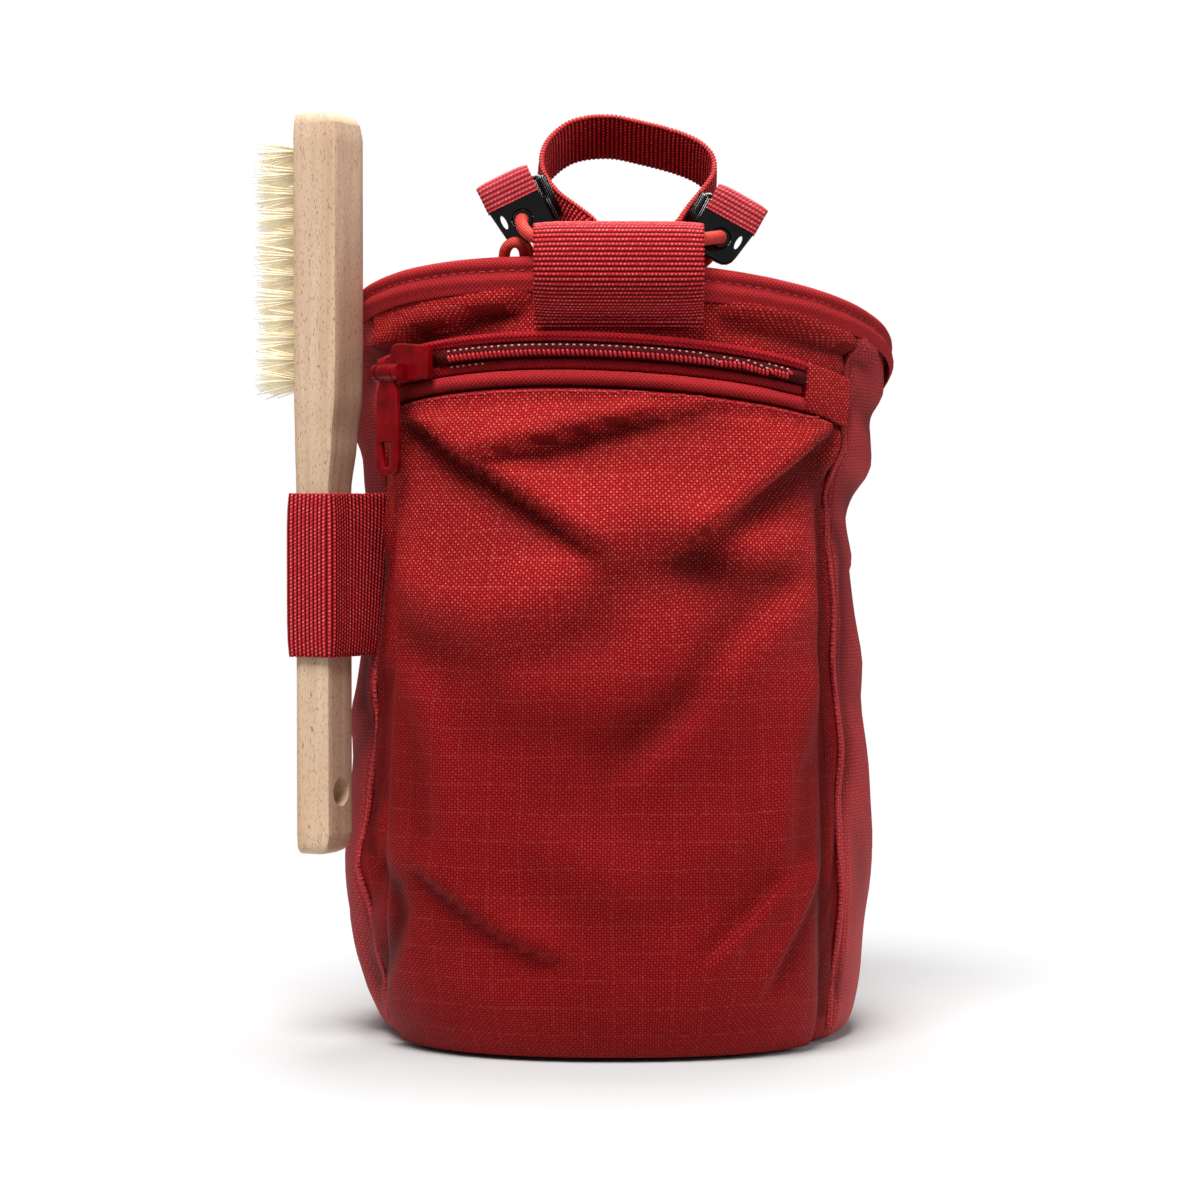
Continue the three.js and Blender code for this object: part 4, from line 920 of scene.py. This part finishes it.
def tab_rails(origin, bar, down):
    """Edges of the webbing folded over a plate's bar (mm)."""
    out = bar.cross(down)
    crown, radius, reach = -0.9, 2.3, 3.2  # bend's height, half the fold's thickness, depth of both ends
    bend = [math.pi * k / 6 for k in range(7)]
    route = [(reach, radius)]
    route += [(crown - radius * math.sin(a), radius * math.cos(a)) for a in bend]
    route.append((reach, -radius))
    rails = []
    for depth, lift in route:
        spot = origin + down * depth + out * lift
        rails.append((*(spot + bar * 2.7), *(spot + bar * 15.7)))
    return rails


def eye_filling(origin, bar, down):
    """Black bush that closes the plate's eye round the cord, and the plate's rounded inner post."""
    bush = origin + bar * EYE_PLACE[0] + down * EYE_PLACE[1]
    turn = Matrix.Rotation(math.pi / 2, 4, "X")
    post = origin + bar * 1.3 + down * 5.9 + Vector((0, -0.5, 0))
    upright = down.to_track_quat("Z", "Y").to_matrix().to_4x4()
    bm = bmesh.new()
    for spot, turned_to, segments, radii, depth in (
        (bush, turn, 24, (2.55, 2.55), 2),
        (post, upright, 20, (1.7, 1.5), 11),
    ):
        bmesh.ops.create_cone(bm, cap_ends=True, segments=segments, radius1=radii[0] * MM,
                              radius2=radii[1] * MM, depth=depth * MM,
                              matrix=Matrix.Translation(spot * MM) @ turned_to)
    bmesh.ops.bevel(bm, geom=bm.edges[:], affect="EDGES", offset=0.5 * MM, segments=3, profile=0.5,
                    material=-1)
    return from_bmesh("bush", bm, black_acetal)


for side, *plate_place in PLATES:
    axes = plate_axes(*plate_place)
    fold = webbing("tab_webbing_" + side, tab_rails(*axes), TAB_THICKNESS, tab_cloth)
    place(fold, "bag", "webbing_red", "strap_tab_" + side)
    plate = moulded("plate_body", "buckle_" + side, black_acetal, 0.35 * MM)
    buckle = joined("cord_plate_" + side, [plate, eye_filling(*axes)])
    place(buckle, "bag", "plastic_black", "buckle_" + side)


# ---- Side seams

SEAM_RUNS = [(SEAMS[1], 4, 168), (SEAMS[0], 4, 90), (SEAMS[0], 137, 164)]  # degrees, from, to (mm)
SEAM_HALF = 0.9 * MM
SEAM_LIFT = 0.6 * MM
wall_skin = skin_of(wall)


def seam_rails(angle, low, high):
    """Edges of a narrow binding that lies on the wall's seam."""
    count = round((high - low) / 4)
    rails = []
    for k in range(count + 1):
        spot, normal = outside(wall_skin, angle, (low + (high - low) * k / count) * MM)
        across = normal.cross(Vector((0, 0, 1))).normalized() * SEAM_HALF
        middle = spot + normal * SEAM_LIFT
        rails.append((*((middle - across) / MM), *((middle + across) / MM)))
    return rails


runs = [webbing("seam_run", seam_rails(*run), 1.2 * MM, side_cloth, ribs=False, columns=6)
        for run in SEAM_RUNS]
seam_binding = joined("side_seam_binding", runs)
place(seam_binding, "bag", "side_cloth_red")


# ---- Cords

for name, source in (("tie_cord_ring", "tie_cord"), ("rim_cord_arch", "rim_cord")):
    place(dressed(name, source, 2, cord_cloth), "bag", "cord_red", source)


# ---- Brush

def section_at(share):
    """Thickness and width of the brush at a share of its length."""
    for (a, thick_a, wide_a), (b, thick_b, wide_b) in zip(BRUSH_SECTIONS, BRUSH_SECTIONS[1:]):
        if a <= share <= b:
            t = (share - a) / (b - a)
            t = t * t * (3 - 2 * t)
            break
    thick = thick_a + (thick_b - thick_a) * t
    wide = wide_a + (wide_b - wide_a) * t
    return thick * BRUSH_THICK, wide * BRUSH_WIDE


def brush_point(share, angle, offset=0.0):
    """Point on the brush's skin, grown outwards by an offset, in the brush's own axes."""
    thick, wide = section_at(share)
    s, c = math.sin(angle), math.cos(angle)
    radius = (abs(s) ** HANDLE_POWER + abs(c) ** HANDLE_POWER) ** (-1 / HANDLE_POWER)
    x = (thick - BRUSH_THICK) / 2 + (thick / 2 + offset) * radius * c
    return Vector((x, (wide / 2 + offset) * radius * s, share * BRUSH_LENGTH))


BRUSH_PLACED = Matrix.Translation(BRUSH_FOOT) @ Matrix.Rotation(BRUSH_TURN, 4, "Z")


def brush_wood():
    """Handle lofted through its sections, with the hanging hole cut through."""
    around, slices = 56, 70
    shares = sorted({s[0] for s in BRUSH_SECTIONS} | {k / slices for k in range(1, slices)})
    bm, _, rings = swept(around, len(shares) - 1, lambda s, row: (
        BRUSH_PLACED @ brush_point(shares[row], 2 * math.pi * s / around)))
    for ring in rings:
        cap = bm.faces.new(ring)
        bmesh.ops.inset_individual(bm, faces=[cap], thickness=1.2 * MM, depth=0.25 * MM)
    close_seam(bm)
    handle = from_bmesh("brush_wood", bm, beech)
    drill = bmesh.new()
    turn = Matrix.Translation((BRUSH_FOOT.x, BRUSH_FOOT.y, HANG_HOLE[1]))
    turn = turn @ Matrix.Rotation(BRUSH_TURN, 4, "Z") @ Matrix.Rotation(math.pi / 2, 4, "Y")
    bmesh.ops.create_cone(drill, cap_ends=True, segments=40, radius1=HANG_HOLE[0] / 2,
                          radius2=HANG_HOLE[0] / 2, depth=40 * MM, matrix=turn)
    bit = from_bmesh("drill", drill, beech)
    cut = handle.modifiers.new("hole", "BOOLEAN")
    cut.object = bit
    cut.operation = "DIFFERENCE"
    cut.solver = "EXACT"
    bake_modifiers(handle)
    bpy.data.objects.remove(bit)
    handle.data.set_sharp_from_angle(angle=SHARP_EDGE)
    return handle


place(brush_wood(), "brush", "beech", "brush_handle")


def tuft(base):
    """One bundle of thin tapered hairs that lean apart towards their tips, as a mesh."""
    bm = bmesh.new()
    tip = bm.verts.layers.float.new("tip")
    for _ in range(HAIRS):
        a, r = random.uniform(0, 2 * math.pi), random.random() ** 0.5
        side, up = r * math.cos(a), r * math.sin(a)
        lean = Vector((-1, side * 0.16 + random.gauss(0, 0.04), up * 0.2 + random.gauss(0, 0.05)))
        way = lean.normalized()
        sideways = Vector((0, 0, 1)).cross(way).normalized()
        root = base + Vector((0, side * 1.1, up * 1.2)) * MM
        basis = Matrix((sideways, way.cross(sideways), way)).transposed()
        long = (HAIR_LENGTH + random.uniform(-0.4, 0.2)) * MM
        hair = bmesh.ops.create_cone(bm, cap_ends=True, segments=4, radius1=HAIR_RADII[0],
                                     radius2=HAIR_RADII[1], depth=1)
        for vertex in hair["verts"]:
            share = vertex.co.z + 0.5
            vertex[tip] = share
            vertex.co = BRUSH_PLACED @ (root + basis @ Vector((vertex.co.x, vertex.co.y, share * long)))
    mesh = bpy.data.meshes.new("tuft")
    bm.to_mesh(mesh)
    bm.free()
    return mesh


def brush_bristles():
    """Rows of tufts down the head, rooted half a millimetre deep."""
    rows, columns = TUFTS
    start, end = TUFT_REACH
    pitch = (end - start) / rows
    bm = bmesh.new()
    for row in range(rows):
        for column in range(columns):
            y = (column - (columns - 1) / 2) * TUFT_SPACING
            mesh = tuft(Vector((-BRUSH_THICK / 2 + 0.5 * MM, y, start + (row + 0.5) * pitch)))
            bm.from_mesh(mesh)
            bpy.data.meshes.remove(mesh)
    return from_bmesh("brush_hair", bm, bristle, smooth=False)


place(brush_bristles(), "brush", "bristle", "brush_bristles")


def ring_rails():
    """Ring of webbing round the handle (mm)."""
    low, high = SLEEVE_HEIGHTS
    share = (low - BRUSH_FOOT.z) / BRUSH_LENGTH
    rails = []
    for k in range(36):
        at = BRUSH_PLACED @ brush_point(share, -2 * math.pi * k / 36, SLEEVE_ROOM) / MM
        rails.append((at.x, at.y, low / MM, at.x, at.y, high / MM))
    return rails


def tail_rails():
    """Tail of the sleeve, from the handle to the seam on the wall (mm)."""
    low, high = SLEEVE_HEIGHTS
    start = BRUSH_PLACED @ Vector((0.27 * BRUSH_THICK + 1.3 * MM, 0, 0))
    ends = [outside(wall_skin, SEAMS[0] - 1, z)[0] for z in (low, high)]
    rails = []
    for t in (0, 0.35, 0.7, 1.0):
        points = [Vector((start.x, start.y, z)).lerp(e, t) for z, e in zip((low, high), ends)]
        rails.append(tuple(v / MM for p in points for v in p))
    return rails


ring = webbing("sleeve_ring", ring_rails(), WEBBING_THICKNESS, webbing_cloth, closed=True, columns=10)
tail = webbing("sleeve_tail", tail_rails(), WEBBING_THICKNESS, webbing_cloth, columns=10)
sleeve = joined("brush_sleeve_webbing", [ring, tail])
place(sleeve, "bag", "webbing_red", "brush_sleeve")


# ---- Stitching

def belt_spots():
    """Places of the stitches across the belt loop's tail."""
    skin = skin_of(belt)
    spots = []
    for k in range(17):
        found = skin.ray_cast(Vector((-17 * MM + k * 2.3 * MM, -0.2, 0.1727)), Vector((0, 1, 0)))
        if found[0]:
            spots.append((found[0], found[1], Vector((1, 0, 0))))
    return spots


red_rows = [beads("row", spots, (length, 0.5, 0.5), thread_red) for spots, length in (
    (along_surface(skin_of(hem), rim_line, -179, 179, 2.5 * MM, HEM_GROOVE), 1.9),
    (along_surface(skin_of(pocket), welt_line, -54, 52, 2.4 * MM, 1.4 * MM), 1.8),
    (belt_spots(), 1.7),
)]
seams = joined("sewn_stitches", red_rows)
place(seams, "bag", "webbing_red")


# ---- Stage, lights and camera

def stage_floor():
    """Matt white paper that fades out round the bag."""
    bm = bmesh.new()
    bmesh.ops.create_circle(bm, cap_ends=True, segments=64, radius=1.2)
    floor = from_bmesh("studio_floor", bm, smooth=False)
    floor.location.z = -0.0003
    made = bpy.data.materials.new("floor_paper_white")
    tree = empty_tree(made)
    paper = node(tree, "BsdfDiffuse", {"Color": linear("#cccccc")})
    clear = node(tree, "BsdfTransparent")
    spot = node(tree, "TexCoord").outputs["Object"]
    far = node(tree, "VectorMath", [spot], operation="LENGTH").outputs["Value"]
    fade = node(tree, "MapRange", [far, 0.12, 0.4, 0.0, 1.0], interpolation_type="SMOOTHSTEP")
    node(tree, "OutputMaterial", [node(tree, "MixShader", [fade, paper, clear])])
    floor.data.materials.append(made)


def area(name, location, target, size, power):
    """White square light that faces a target: size in metres, power in watts."""
    data = bpy.data.lights.new(name, "AREA")
    data.energy = power
    data.size = size
    lamp = bpy.data.objects.new(name, data)
    lamp.location = location
    lamp.rotation_euler = (Vector(target) - Vector(location)).to_track_quat("-Z", "Y").to_euler()
    bpy.context.scene.collection.objects.link(lamp)


# Soft studio light: main light above the front, fills at both sides, and one that rims the mouth
stage_floor()
area("key", (-0.16, -0.62, 1.15), (0, -0.03, 0.1), 0.55, 19)
area("fill_right", (1.1, -0.4, 0.5), (0, 0, 0.1), 0.6, 5)
area("fill_left", (-0.8, -0.8, 0.8), (0, 0, 0.1), 0.9, 1.8)
area("top", (0.03, 0.3, 1.2), (0, 0, 0.1), 0.6, 12)

world = bpy.data.worlds.new("studio")
bpy.context.scene.world = world
sky = empty_tree(world)
# The camera sees a white backdrop; the object gets only a faint light from it
seen, soft = [node(sky, "Background", {"Color": (1, 1, 1, 1), "Strength": share}) for share in (1, 0.17)]
rays = node(sky, "LightPath").outputs["Is Camera Ray"]
node(sky, "OutputWorld", [node(sky, "MixShader", [rays, soft, seen])])

# Nearly level long lens, as the photograph has
view = bpy.data.cameras.new("camera")
view.sensor_width = 36
view.lens = 95.8
camera = bpy.data.objects.new("camera", view)
camera.location = (-0.003, -0.8, 0.126)
camera.rotation_euler = (math.radians(88.57), 0, 0)
bpy.context.scene.collection.objects.link(camera)
bpy.context.scene.camera = camera
bpy.context.scene.view_settings.view_transform = "Standard"
